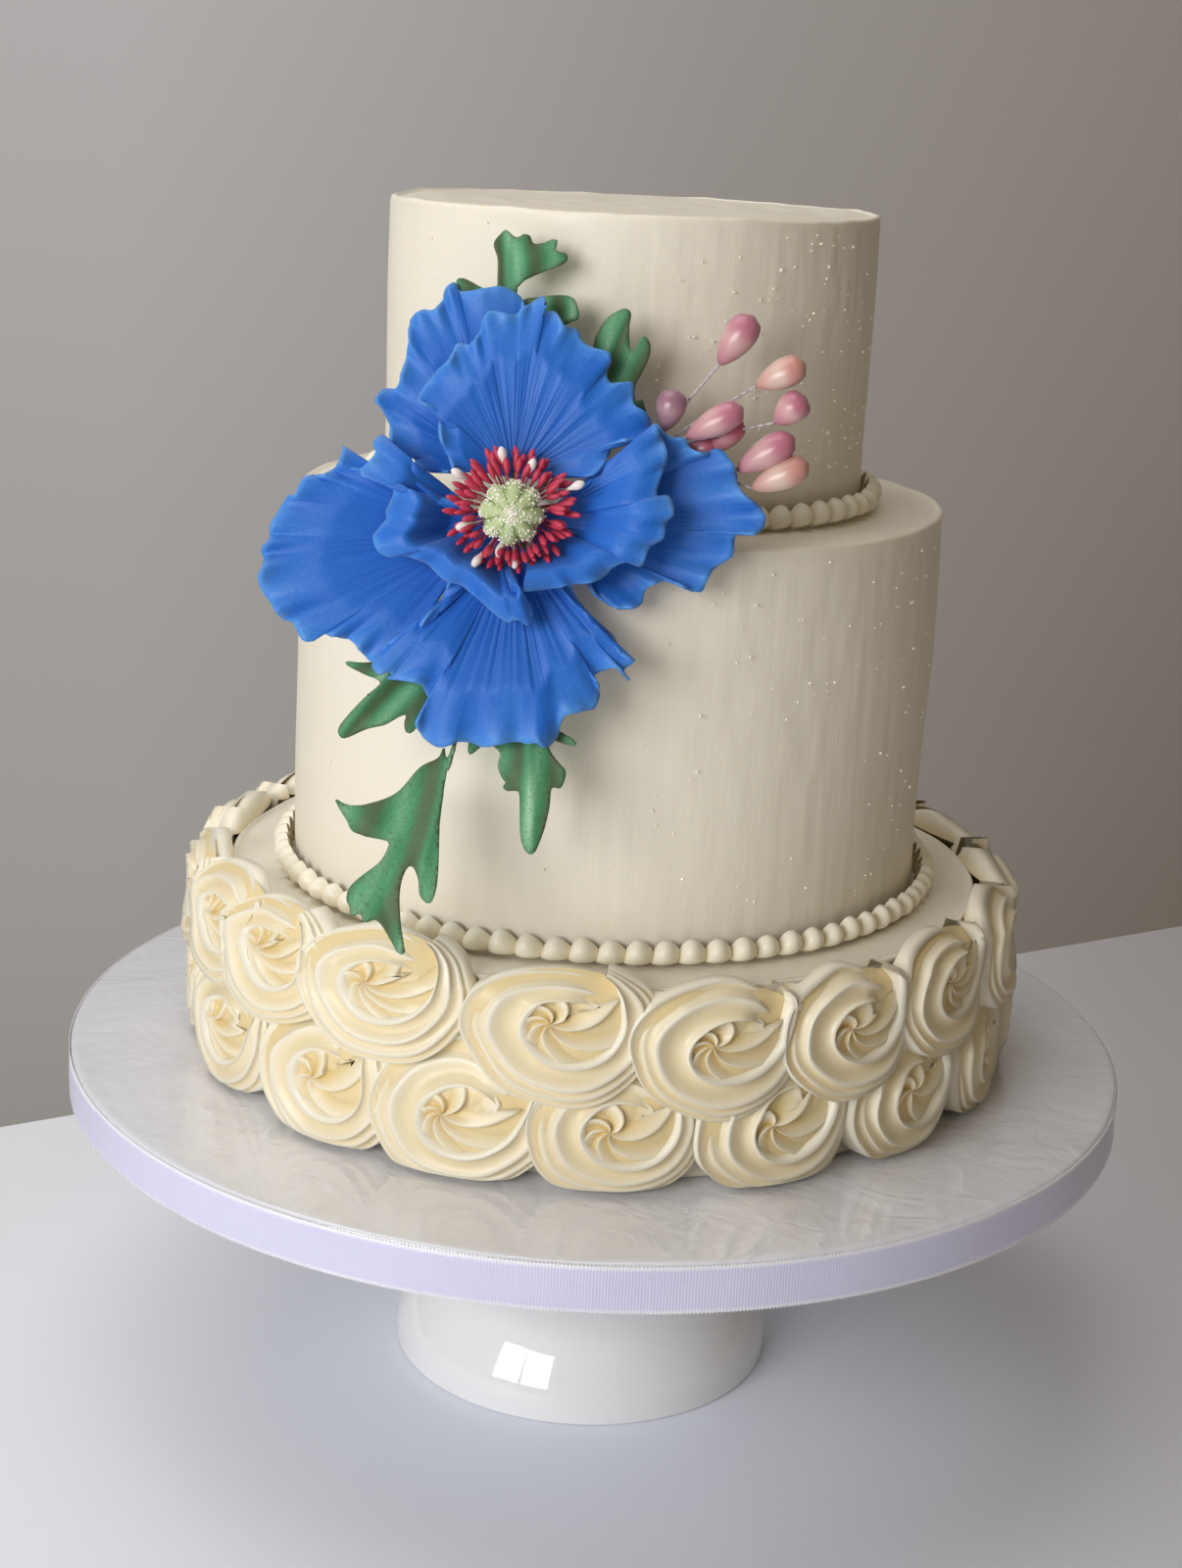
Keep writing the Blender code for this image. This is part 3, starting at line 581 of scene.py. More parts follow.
    # The throat: curled folds that fan out from a point left of its middle.
    folds, rings = int(rng.integers(5, 8)), 16
    within = np.tile([0.0, 0.05, 0.1, 0.16, 0.24, 0.34, 0.46, 0.58, 0.7, 0.82, 0.92], folds)
    base = (np.repeat(np.arange(folds), 11) + within) / folds
    base = TURN * (base + 0.035 * np.sin(TURN * base + rng.uniform(0, TURN)))
    share = np.linspace(0.0, 1.0, rings)[:, None]
    turning = base[None, :] + math.radians(rng.uniform(70.0, 105.0)) * share ** 0.85
    crest = np.where(within < 0.1, (within / 0.1) ** 0.8, ((1.0 - within) / 0.9) ** 1.6)[None, :]
    reach_in = np.interp(np.mod(turning - angle[0], TURN) / TURN, progress, inner) + 0.07
    apex_x, apex_z = -0.15 * reach * rng.uniform(0.6, 1.2), 0.05 * reach * rng.uniform(-0.5, 1.5)
    lean = 0.0010 * np.exp(-((within - 0.1) / 0.08) ** 2)[None, :] * np.sin(math.pi * share)
    spread = reach * reach_in * share + lean
    x = wide_reach * spread * np.cos(turning) + apex_x * (1.0 - share)
    z = tall_reach * spread * np.sin(turning) + apex_z * (1.0 - share)
    depth = np.interp(share, [0, 0.3, 0.8, 1.0], [11.6, 11.2, 10.2, 9.4]) * 0.001
    depth = depth + 0.0026 * (crest - 0.5) * np.interp(share, [0, 0.15, 0.6, 1.0], [0.1, 0.9, 1.0, 0.7])
    points.append(on_wall(x, z, depth).reshape(-1, 3))
    # painted shade between the throat's folds
    hollows.append(np.clip(0.85 * (1.0 - crest) * np.ones_like(share) + 0.15, 0, 1).reshape(-1))
    faces += grid_faces(rings, len(within), start, True)

    # A plain mound under it all closes the gaps where the band's ends meet.
    start += rings * len(within)
    ways, share = np.linspace(0.0, TURN, 37)[None, :-1], np.linspace(0.0, 0.94, 7)[:, None]
    x, z = wide_reach * reach * share * np.cos(ways), tall_reach * reach * share * np.sin(ways)
    points.append(on_wall(x, z, 0.0100 - 0.003 * share ** 4 + 0.0 * ways).reshape(-1, 3))
    # painted shade on the mound under the band
    hollows.append(np.full(x.size, 0.7))
    faces += grid_faces(7, 36, start, True)

    rosette = build(name, np.concatenate(points), faces, piped_cream)
    mark(rosette, "hollow_shade", np.concatenate(hollows))
    body = bmesh.new()
    body.from_mesh(rosette.data)
    bmesh.ops.recalc_face_normals(body, faces=body.faces)
    body.to_mesh(rosette.data)
    body.free()
    rosette.data.shade_smooth()
    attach(rosette, "root")
    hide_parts(node)


for row, (shown, reaches, count), level in (("upper", UPPER, UPPER_LEVEL), ("lower", LOWER, LOWER_LEVEL)):
    for i, (azimuth, reach) in enumerate(row_places(shown, reaches, count)):
        raised = UPPER_RAISED[i] if row == "upper" and i < len(UPPER_RAISED) else 0.0
        make_rosette(f"swirl_{row}_{i + 1:02d}", f"rosette_{row}_{i + 1:02d}", azimuth, reach, level + raised,
                     row == "upper", 40 * (row == "upper") + i)

# ---- Poppy petals: sugar paste rolled thin, veined in a mould and coloured blue ----
# The colour is brushed dry, so the raised veins stay paler than the hollows; the frilled
# edges are paler too, partly from the dust and partly as painted light through the thin paste.
# Four open petals lie at the back and two smaller ones cup the middle.

middle = Vector((-0.0297, -0.1220, board_top + 0.1964))
flower = (Matrix.Translation(middle) @ Matrix.Rotation(math.radians(90.0 - 16.0), 4, "X")
          @ Matrix.Rotation(math.radians(2.7), 4, "Z"))
SPREAD = 1.03
RAISE = 0.15                       # the pieces further back sit a little higher


def on_flower(points):
    """Points on the flower's own axes (mm right, up and out of its face) in metres."""
    points = np.asarray(points, dtype=float).reshape(-1, 3)
    local = points * np.array((SPREAD, SPREAD, 1.0)) * 0.001
    local[:, 1] -= RAISE * local[:, 2]
    matrix = np.array(flower)
    return local @ matrix[:3, :3].T + matrix[:3, 3]


def sugar_paste(name, deep, base, pale, gloss):
    """Matt sugar paste: deep in the hollows, pale where the dust caught on raised veins."""
    material, tree, shader = new_material(name, Roughness=gloss, IOR=1.45, Sheen_Weight=0.12,
                                          Sheen_Roughness=0.5, Subsurface_Weight=0.04,
                                          Subsurface_Scale=0.001)
    vein = add(tree, "Attribute", {"attribute_name": "vein"}).outputs["Fac"]
    cloud = add(tree, "TexNoise", {"Scale": 60.0, "Detail": 3.0})             # 15 mm brush patches
    speck = add(tree, "TexNoise", {"Scale": 900.0, "Detail": 2.0})            # 1 mm dust grains
    drift = add(tree, "Math", {"operation": "MULTIPLY_ADD", 1: 0.3}, {0: cloud.outputs[0], 2: vein})
    amount = add(tree, "Math", {"operation": "MULTIPLY_ADD", 1: 0.18},
                 {0: speck.outputs[0], 2: drift.outputs[0]})
    tint = ramp(tree, amount.outputs[0], [(0.12, deep), (0.5, base), (1.15, pale)])
    tree.links.new(tint, shader.inputs["Base Color"])
    bump = add(tree, "Bump", {"Strength": 0.12, "Distance": 0.0004}, {"Height": speck.outputs[0]})
    tree.links.new(bump.outputs[0], shader.inputs["Normal"])
    return material


blue_paste = sugar_paste("brushed blue sugar paste", "1450B0", "1A69CC", "559AE6", 0.45)


def spaced(outline, steps, closed=False):
    """The outline as steps + 1 places evenly spaced along a smooth curve through it."""
    points = [tuple(p) for p in outline]
    if closed:
        points = points + [points[0]]
    curve = np.array(smoothed(points, 6))
    lengths = np.concatenate(([0.0], np.cumsum(np.linalg.norm(np.diff(curve, axis=0), axis=1))))
    even = np.linspace(0.0, lengths[-1], steps + 1)
    return np.stack([np.interp(even, lengths, curve[:, k]) for k in range(curve.shape[1])], -1)


def noise_line(rng, steps, waves, closed=False):
    """A smooth random line of about the given number of waves, from -1 to 1."""
    knots = rng.uniform(-1.0, 1.0, waves * 2 + 3)
    return np.interp(np.linspace(0.0, len(knots) - 1.0, steps), np.arange(len(knots)), knots)


PETAL_STEPS, PETAL_RINGS = 420, 34


def make_petal(name, base, base_depth, sections, frill, outline, seed, lip=None):
    """A fan from the base to the outline. Sections hold the depth at three shares of the way
    out, at the outline's start, middle and end; frill is (height, waves) of the edge. A lip
    is (share, drop): beyond that share the edge rolls back and outward."""
    rng = np.random.default_rng(seed)
    edge = spaced(outline, PETAL_STEPS - 1)
    along = np.linspace(0.0, 1.0, PETAL_STEPS)
    shares = np.linspace(0.0, 1.0, PETAL_RINGS) ** 0.9
    shares[0] = 0.04
    keys = np.array(sections, dtype=float)
    depths = np.stack([np.interp(along, [0.0, 0.25, 0.5, 0.75, 1.0],
                                 [keys[0, k], (keys[0, k] + keys[1, k]) / 2, keys[1, k],
                                  (keys[1, k] + keys[2, k]) / 2, keys[2, k]]) for k in range(3)])
    kernel = np.hanning(81) / np.hanning(81).sum()
    depths = np.stack([np.convolve(np.pad(d, 40, mode="edge"), kernel, mode="valid") for d in depths])
    height, waves = frill
    wander = noise_line(rng, PETAL_STEPS, waves) * 0.5
    wander = np.convolve(np.pad(wander, 10, mode="edge"), np.hanning(21) / np.hanning(21).sum(), "valid")
    phase = TURN * (waves * along + 0.35 * wander + rng.uniform())
    fine = np.convolve(np.pad(noise_line(rng, PETAL_STEPS, waves * 4), 5, mode="edge"),
                       np.hanning(11) / np.hanning(11).sum(), "valid")
    vein_line = (0.3 * np.sin(TURN * (34 * along + 2.5 * wander)) + 0.2 * np.sin(TURN * 61 * along + 3 * wander)
                 + 1.0 * noise_line(rng, PETAL_STEPS, 52))
    vein_line = vein_line * (0.25 + 0.75 * np.sin(math.pi * along) ** 1.5)
    points, veins = [], []
    for share in shares:
        uv = np.array(base)[None, :] * (1.0 - share) + edge * share
        curve = np.stack([np.interp(share, [0.0, 0.4, 0.72, 1.0], [base_depth, *depths[:, i]])
                          for i in range(0, PETAL_STEPS, 6)])
        depth = np.interp(along, along[::6], curve)
        fan = share ** 1.5
        broad = share ** 5 * 0.5 * np.sin(phase * 0.5)
        ruffle = height * (broad + share ** 12 * 1.1 * np.sin(2.0 * phase) + share ** 18 * 1.0 * fine)
        ruffle = ruffle + 2.0 * share ** 5 * (1.0 - np.sin(math.pi * along) ** 0.5)
        gather = 0.2 * share * (1.0 - share) * 2.0 * np.sin(TURN * (6 * along + wander))
        fading = math.sin(math.pi * min(1.0, share) ** 0.55) ** 2
        relief = 0.20 * vein_line * fading
        depth = depth + ruffle + gather * 0.5 + relief
        if lip is not None and share > lip[0]:
            over = (share - lip[0]) / (1.0 - lip[0])
            depth = depth - lip[1] * over ** 1.5
        points.append(np.column_stack([uv, depth]))
        # painted light: the outer tenth of each petal is made paler, as light showing through the thin edge, on
        # top of the dust
        rim = max(0.0, (share - 0.9) / 0.1)
        veins.append(0.26 * fan + 0.045 * vein_line * fading + 0.06 * np.sin(phase) * fan + 0.3 * rim ** 2)
    flat = np.concatenate(points)
    faces = []
    for ring in range(PETAL_RINGS - 1):
        for step in range(PETAL_STEPS - 1):
            a = ring * PETAL_STEPS + step
            faces.append((a, a + 1, a + PETAL_STEPS + 1, a + PETAL_STEPS))
    petal = build(name, on_flower(flat), faces, blue_paste)
    mark(petal, "vein", np.clip(np.concatenate(veins) + 0.1, 0.0, 1.0))
    thicken = petal.modifiers.new("thickness", "SOLIDIFY")
    thicken.thickness = 0.0009
    thicken.offset = 0.0
    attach(petal, "root")
    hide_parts("petal_" + name.removeprefix("poppy_"))
    return petal


make_petal("poppy_top", (0, 9), -12.5, ((-11, -9, -9), (-9, -6, -9), (-10, -9, -9)), (1.7, 6), [
    (-16, 12), (-19, 18), (-20, 24), (-20.5, 28), (-25.7, 30.3), (-20.5, 38), (-17, 41), (-15.3, 45),
    (-11.5, 45), (-9, 49), (-7.5, 53), (-5.5, 54), (0.5, 53), (2.5, 55), (6, 57), (8, 58), (8.7, 56.5),
    (8.5, 54), (11.5, 53.7), (13.5, 50.3), (17, 49), (18.5, 46), (21, 44.2), (25.5, 43), (26.3, 41),
    (25.2, 37.5), (26.5, 34.5), (32, 34.7), (32.5, 29), (35.5, 27), (37, 24), (35, 19.8), (29, 19.2),
    (26.5, 17.5), (25, 13.5), (22.5, 10.5), (20, 9.5)], 11)
make_petal("poppy_back", (-3, 11), -18, ((-17, -16, -16), (-17, -15, -16), (-17, -16, -17)), (1.3, 5), [
    (-18, 10.5), (-24, 11), (-28, 14.5), (-31, 17), (-34.5, 15.5), (-33.7, 20), (-35, 26),
    (-37.7, 30), (-36, 32.7), (-32, 33.5), (-30.5, 38), (-30, 40), (-28.8, 45), (-28.8, 50.5),
    (-27.5, 53), (-25.5, 54.5), (-22, 54.8), (-20, 57), (-18.3, 61), (-16.5, 62), (-15, 59.8), (-11, 60),
    (-8, 60.5), (-3.5, 61), (0, 59.5), (2.5, 56.5), (2, 50), (4, 40)], 12)
make_petal("poppy_left", (-9, -6), -18, ((-17, -15, -15), (-16, -13, -13), (-17, -15, -15)), (1.6, 7), [
    (-26, 3), (-36, 9), (-40.8, 10.2), (-42, 11.5), (-45.5, 12), (-46.2, 14), (-46.7, 17.3),
    (-47.3, 13.5), (-49.5, 11), (-52, 9.7), (-57, 8.8), (-59.5, 4), (-61.5, 3.8), (-63.5, 0.5),
    (-66.3, -4.5), (-66.5, -8), (-68.7, -10.8), (-67.8, -14), (-69.2, -19), (-68, -22.5),
    (-65, -26.5), (-62.5, -29.8), (-60, -30.5), (-57.8, -34.5), (-55.5, -35.7), (-52, -33.7),
    (-47, -34.5), (-43, -36.2), (-40.5, -39.5), (-37, -41), (-27, -34)], 13)
make_petal("poppy_bottom", (0, -9), -15.5, ((-13, -10, -10), (-12, -8, -12), (-13, -10, -12)), (1.6, 7), [
    (-17, -19), (-18.5, -22), (-19.5, -25), (-23, -28), (-27, -34), (-31, -36.5), (-34, -36),
    (-36, -38.5), (-38, -42), (-36, -43.8), (-33.5, -43.3), (-32.8, -44.5), (-33.8, -45.5),
    (-27, -45.8), (-24.5, -47), (-23.7, -49), (-22.7, -52), (-25, -55), (-26, -58), (-24.5, -61.5),
    (-20.5, -64), (-17, -63.5), (-15, -62.5), (-11, -63), (-8, -64), (-4, -63), (1.5, -62.5), (4, -63),
    (6.5, -62.5), (9, -64), (12, -61), (14, -55.5), (19, -54.2), (22, -53.5), (23.3, -50), (23, -47),
    (21.7, -44.7), (25, -43), (28.5, -42.3), (31.5, -46), (30, -43), (32.8, -40.5), (29.5, -38.5),
    (27, -34), (24, -32.5), (22, -30), (18, -25), (16, -21), (15.5, -18)], 14)
make_petal("poppy_right", (8, -3), -18, ((-17, -16, -15), (-17, -16, -14), (-17, -15, -14)), (1.4, 6), [
    (20.8, -18.5), (22, -22.5), (25, -25), (29, -26.5), (34.5, -25.5), (35.5, -22.5), (37, -20.5),
    (41, -19), (45, -20), (49.5, -22), (51.5, -21.5), (53, -18), (55.5, -15), (59.5, -12), (60.5, -6.5),
    (65, -6.2), (67.5, -5), (68.3, -2.5), (67, 1), (63, 4), (61, 7), (60.5, 10.5), (58, 15),
    (55.5, 17), (52.5, 15.5), (48, 17), (46.5, 19.5), (43, 20), (41, 21), (39, 23.7)], 15)
make_petal("poppy_inner_left", (-6, -4), -12.5, ((-12, -8, -3), (-11, 1, 2), (-11, 2.5, 3)), (1.1, 7), [
    (-15, 3.5), (-20, 3.3), (-25, 4.5), (-28, 8), (-33, 12), (-34.5, 14), (-33.5, 17), (-34, 19.5),
    (-35.6, 20.3), (-37.3, 18.5), (-37, 15.5), (-40, 12), (-40.8, 10.2), (-38, 9.5), (-34.5, 9.3),
    (-31.7, 5.5), (-33.8, 0.2), (-33.5, -2), (-36, -5), (-37.2, -7), (-36, -10), (-33, -11.8),
    (-29, -11.5), (-23, -13.5), (-18, -18), (-13.5, -19.5), (-9, -23), (-5, -26.5), (-1, -29.3),
    (1, -28.5), (4.5, -30), (5.2, -26.5), (4, -24), (2, -23.5), (1.3, -24)], 16, (0.7, 6.5))
make_petal("poppy_inner_right", (6, -3), -12.5, ((-10, 1, 1), (-10, -1, 2), (-12, -10, -9)), (1.0, 6), [
    (3, -21), (7.5, -20.5), (12, -20), (17, -19), (22, -18.5), (25, -16.5), (27, -14.5), (31, -13),
    (34.5, -14), (37, -9), (40.5, -6.5), (41, -3), (42, -1.5), (43.2, 0), (42, 4), (38.5, 5), (41.5, 15),
    (39.5, 20.5), (38.5, 23.5), (37, 22), (34.5, 18), (33.5, 14), (27, 13), (24, 10)], 17, (0.78, 4.0))

# ---- Seed pod: a ball of pale green sugar paste scored into eight, dipped in sugar ----
# The grains cling in patches and glitter white and pale gold.

pod_paste, tree, shader = new_material("pale green sugar paste", Roughness=0.6, Subsurface_Weight=0.1,
                                       Subsurface_Scale=0.001)
groove = add(tree, "Attribute", {"attribute_name": "groove"}).outputs["Fac"]
tint = ramp(tree, groove, [(0.0, "BAC898"), (1.0, "83A05C")])
tree.links.new(tint, shader.inputs["Base Color"])


def grains(name, places, size, spread, seed, material):
    """Small faceted crystals, one at each place (metres), as one mesh."""
    rng = np.random.default_rng(seed)
    shape = np.array([(1, 0, 0), (-1, 0, 0), (0, 1, 0), (0, -1, 0), (0, 0, 1), (0, 0, -1)], dtype=float)
    sides = [(0, 2, 4), (2, 1, 4), (1, 3, 4), (3, 0, 4), (2, 0, 5), (1, 2, 5), (3, 1, 5), (0, 3, 5)]
    points, faces = [], []
    for place in places:
        turn = Matrix.Rotation(rng.uniform(0, TURN), 3, rng.normal(size=3).tolist())
        scale = size * rng.uniform(1.0 - spread, 1.0 + spread)
        start = len(points)
        stretch = rng.uniform(0.7, 1.2, 3)
        for corner in shape:
            points.append(Vector(place) + turn @ Vector((corner * stretch * scale).tolist()))
        faces += [(start + a, start + b, start + c) for a, b, c in sides]
    return build(name, points, faces, material, smooth=False)


pod_points, pod_faces, pod_groove = [], [], []
pod_rows, pod_sides = 30, 96
for row in range(pod_rows + 1):
    tilt = math.pi * 0.80 * row / pod_rows
    for k in range(pod_sides):
        angle = TURN * k / pod_sides
        lobe = abs(math.cos(4.0 * angle + 0.5)) ** 0.6
        deep = (1.0 - lobe) * math.sin(tilt) ** 0.5
        radius = 8.7 * (1.0 - 0.22 * deep)
        pod_points.append((radius * math.sin(tilt) * math.cos(angle),
                           radius * math.sin(tilt) * math.sin(angle), 6.2 * math.cos(tilt) * (1 - 0.08 * deep)))
        pod_groove.append(min(1.0, deep * 1.3))
for row in range(pod_rows):
    for k in range(pod_sides):
        a, b = row * pod_sides + k, row * pod_sides + (k + 1) % pod_sides
        pod_faces.append((a, b, b + pod_sides, a + pod_sides))
pod_world = on_flower(pod_points)
pod = build("pod", pod_world, pod_faces, pod_paste)
mark(pod, "groove", pod_groove)
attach(pod, "root")
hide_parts("seed_pod")

sugar_crystal, tree, shader = new_material("clear sugar crystals", Base_Color=colour("FFFBF0"), Roughness=0.25,
                                           IOR=1.55, Coat_Weight=0.5)
rng = np.random.default_rng(21)
pod_array = np.array(pod_points)
facing = [i for i in range(len(pod_points)) if pod_array[i, 2] > -3.0
          and rng.uniform() < 0.16 + 0.34 * (math.sin(pod_array[i, 0] * 0.55 + 1.0)
                                             * math.sin(pod_array[i, 1] * 0.6 + 2.0) > 0.05)]
pod_sugar = grains("pod_sugar", [pod_world[i] + rng.normal(0.0, 0.00016, 3) for i in facing], 0.00034, 0.4, 22,
                   sugar_crystal)
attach(pod_sugar, "root")

# ---- Stamens: cotton threads dipped in crimson and a few in white ----
# Wound round the pod in rings; each head is a small dried drop, uneven and slightly shiny.

crimson, tree, shader = new_material("crimson stamen dip", Roughness=0.45, IOR=1.45, Coat_Weight=0.2,
                                     Coat_Roughness=0.25)
mottle = add(tree, "TexNoise", {"Scale": 450.0, "Detail": 3.0})
tint = ramp(tree, mottle.outputs[0], [(0.3, "B02A48"), (0.55, "CC3A58"), (0.75, "DC5C74")])
tree.links.new(tint, shader.inputs["Base Color"])
bump = add(tree, "Bump", {"Strength": 0.3, "Distance": 0.0003}, {"Height": mottle.outputs[0]})
tree.links.new(bump.outputs[0], shader.inputs["Normal"])
white_dip, _, _ = new_material("white stamen dip", Base_Color=colour("EDE6E4"), Roughness=0.5,
                               Subsurface_Weight=0.1, Subsurface_Scale=0.001)


def capsule(points, faces, start, end, radii, sides=10):
    """Add a closed tube from start to end with the given radii along it (flower mm)."""
    axis = np.array(end, dtype=float) - np.array(start, dtype=float)
    turn = np.array(Vector(axis).to_track_quat("Z", "Y").to_matrix())
    first = len(points)
    for i, radius in enumerate(radii):
        centre = np.array(start) + axis * i / (len(radii) - 1)
        for k in range(sides):
            a = TURN * k / sides
            points.append(centre + turn @ np.array((radius * math.cos(a), radius * math.sin(a), 0.0)))
    for i in range(len(radii) - 1):
        for k in range(sides):
            a, b = first + i * sides + k, first + i * sides + (k + 1) % sides
            faces.append((a, b, b + sides, a + sides))
    faces.append(tuple(first + k for k in reversed(range(sides))))
    faces.append(tuple(first + (len(radii) - 1) * sides + k for k in range(sides)))


head_shape = [0.3, 0.6, 0.82, 0.95, 1.0, 1.0, 0.9, 0.66, 0.25]
rng = np.random.default_rng(31)
heads, head_faces, threads, thread_faces = [], [], [], []
for count, inner, length, depth in ((34, 9.9, 5.0, -2.6), (32, 11.0, 5.8, -4.4), (26, 12.6, 6.0, -5.8)):
    for k in range(count):
        angle = TURN * (k + rng.uniform(-0.35, 0.35)) / count
        tilt = angle + rng.uniform(-0.3, 0.3)
        upward = 0.5 + 0.5 * math.sin(angle)                 # the upper ones lie back more
        out, forward = 0.55 + 0.45 * upward, 0.85 - 0.6 * upward
        size = length * rng.uniform(0.8, 1.12) / math.hypot(out, forward)
        a = inner + rng.uniform(-0.4, 0.9)
        start = np.array((a * math.cos(angle), a * math.sin(angle), depth + rng.uniform(-0.5, 0.8)))
        end = start + size * np.array((out * math.cos(tilt), out * math.sin(tilt), forward))
        thick = rng.uniform(0.8, 1.0)
        capsule(heads, head_faces, start, end, [thick * s for s in head_shape])
        root = np.array((5.0 * math.cos(angle), 5.0 * math.sin(angle), -9.5))
        capsule(threads, thread_faces, root, start, [0.22, 0.2], 5)
stamens = build("stamen_heads", on_flower(heads), head_faces, crimson)
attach(stamens, "root")
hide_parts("stamens")
stalks = build("stamen_threads", on_flower(threads), thread_faces, crimson)
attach(stalks, "root")

flared, flared_faces = [], []
for u, v in ((-2.5, 15), (5, 12), (17, 7), (-14, 10), (-12.5, -3.5), (-9, -12.5), (-3, -9.5), (0.7, -12.5)):
    out = np.array((u, v)) / math.hypot(u, v)
    start = np.array((u - 2.6 * out[0], v - 2.6 * out[1], -3.0))
    end = np.array((u + 2.4 * out[0], v + 2.4 * out[1], -0.2))
    capsule(flared, flared_faces, start, end, [0.3, 0.55, 0.8, 1.15, 1.3, 1.1, 0.5], 9)
    capsule(flared, flared_faces, (5.0 * out[0], 5.0 * out[1], -9.5), start, [0.2, 0.2], 5)
white_heads = build("stamen_white_heads", on_flower(flared), flared_faces, white_dip)
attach(white_heads, "root")

# ---- Leaves: green sugar paste cut with a lobed cutter and creased with veins ----
# Brown dust is brushed along the veins and edges; each leaf is wired behind the petals.

leaf_paste, tree, shader = new_material("brushed green sugar paste", Roughness=0.58, IOR=1.45,
                                        Sheen_Weight=0.08, Subsurface_Weight=0.05, Subsurface_Scale=0.001)
rib = add(tree, "Attribute", {"attribute_name": "rib"}).outputs["Fac"]
rim = add(tree, "Attribute", {"attribute_name": "rim"}).outputs["Fac"]
dust = add(tree, "TexNoise", {"Scale": 90.0, "Detail": 4.0, "Roughness": 0.65})
green = ramp(tree, rib, [(0.0, "4A6A44"), (0.28, "3E8E60"), (0.7, "62AE80"), (1.0, "9CD0A8")])
brown = add(tree, "Mix", {"data_type": "RGBA", 7: colour("4F4A30")}, {6: green})
cover = add(tree, "MapRange", {"From Min": 0.48, "From Max": 0.68, "To Max": 0.6}, {"Value": dust.outputs[0]})
edge_dust = add(tree, "Math", {"operation": "MULTIPLY_ADD", 1: 0.45}, {0: rim, 2: cover.outputs[0]})
tree.links.new(edge_dust.outputs[0], brown.inputs[0])
tree.links.new(brown.outputs[2], shader.inputs["Base Color"])
bump = add(tree, "Bump", {"Strength": 0.1, "Distance": 0.0005}, {"Height": dust.outputs[0]})
tree.links.new(bump.outputs[0], shader.inputs["Normal"])


def make_leaf(name, node, root, tip, tip_depth, outline, extra=(), lift=1.4, seed=0):
    """A lobed blade filled with small triangles, veined from its root to its tips."""
    rng = np.random.default_rng(seed)
    root, tip = np.array(root, dtype=float), np.array(tip, dtype=float)
    axis = tip - root
    length = np.linalg.norm(axis)
    axis = axis / length
    side = np.array((-axis[1], axis[0]))
    loops = [np.array(outline, dtype=float)]
    first, last = loops[0][0], loops[0][-1]
    across = side if np.dot(first - last, side) > 0 else -side
    loops[0] = np.concatenate([[root + across * 0.8], loops[0], [root - across * 0.8]])
    loops += [np.array(e, dtype=float) for e in extra]
    points, faces, ribs, rims = [], [], [], []
    for number, loop in enumerate(loops):
        edge = spaced(loop, max(24, int(len(loop) * 7)), closed=True)[:-1]
        low, high = edge.min(axis=0), edge.max(axis=0)
        us, vs = np.arange(low[0], high[0], 0.8), np.arange(low[1], high[1], 0.8)
        inside = []
        nxt = np.roll(edge, -1, axis=0)
        for u in us:
            for v in vs:
                place = np.array((u, v)) + rng.uniform(-0.15, 0.15, 2)
                crossing = ((edge[:, 1] > place[1]) != (nxt[:, 1] > place[1]))
                slope = (nxt[:, 0] - edge[:, 0]) * (place[1] - edge[:, 1]) / (nxt[:, 1] - edge[:, 1] + 1e-9)
                if np.count_nonzero(crossing & (place[0] < edge[:, 0] + slope)) % 2 == 1:
                    if np.min(np.hypot(*(edge - place).T)) > 0.45:
                        inside.append(place)
        every = np.concatenate([edge, np.array(inside)]) if inside else edge
        flat = [Vector(p.tolist()) for p in every]
        borders = [(i, (i + 1) % len(edge)) for i in range(len(edge))]
        placed, _, tris, _, _, _ = delaunay_2d_cdt(flat, borders, [], 1, 1e-5)
        start = len(points)
        for place in placed:
            p = np.array(place)
            along = np.dot(p - root, axis) / length
            aside = np.dot(p - root, side)
            gap = np.min(np.hypot(*(edge - p).T))
            fan = math.atan2(aside, max(0.08, along + 0.25) * length * 0.7)
            vein = 0.5 + 0.5 * math.cos(fan * 34.0 + 2.0 * math.sin(along * 5.0 + seed))
            midrib = math.exp(-(aside / 0.9) ** 2)
            depth = -24.0 + (tip_depth + 24.0) * min(1.0, along * 1.15)
            depth += lift * math.sin(along * 7.0 + seed) * 0.6 + 0.25 * vein + 0.35 * midrib
            droop = 0.02 * aside ** 2 * (0.3 if number else 0.12)
            depth += 0.9 * math.sin(aside * 0.33 + seed) * min(1.0, gap / 4.0) - droop
            points.append((p[0], p[1], depth))
            ribs.append(0.78 * vein ** 1.3 + 0.3 * midrib)
            rims.append(math.exp(-gap / 0.9))
        faces += [tuple(start + i for i in tri) for tri in tris]
    leaf = build(name, on_flower(points), faces, leaf_paste)
    mark(leaf, "rib", np.clip(ribs, 0, 1))
    mark(leaf, "rim", rims)
    thicken = leaf.modifiers.new("thickness", "SOLIDIFY")
    thicken.thickness = 0.0009
    thicken.offset = 0.0
    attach(leaf, "root")
    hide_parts(node)


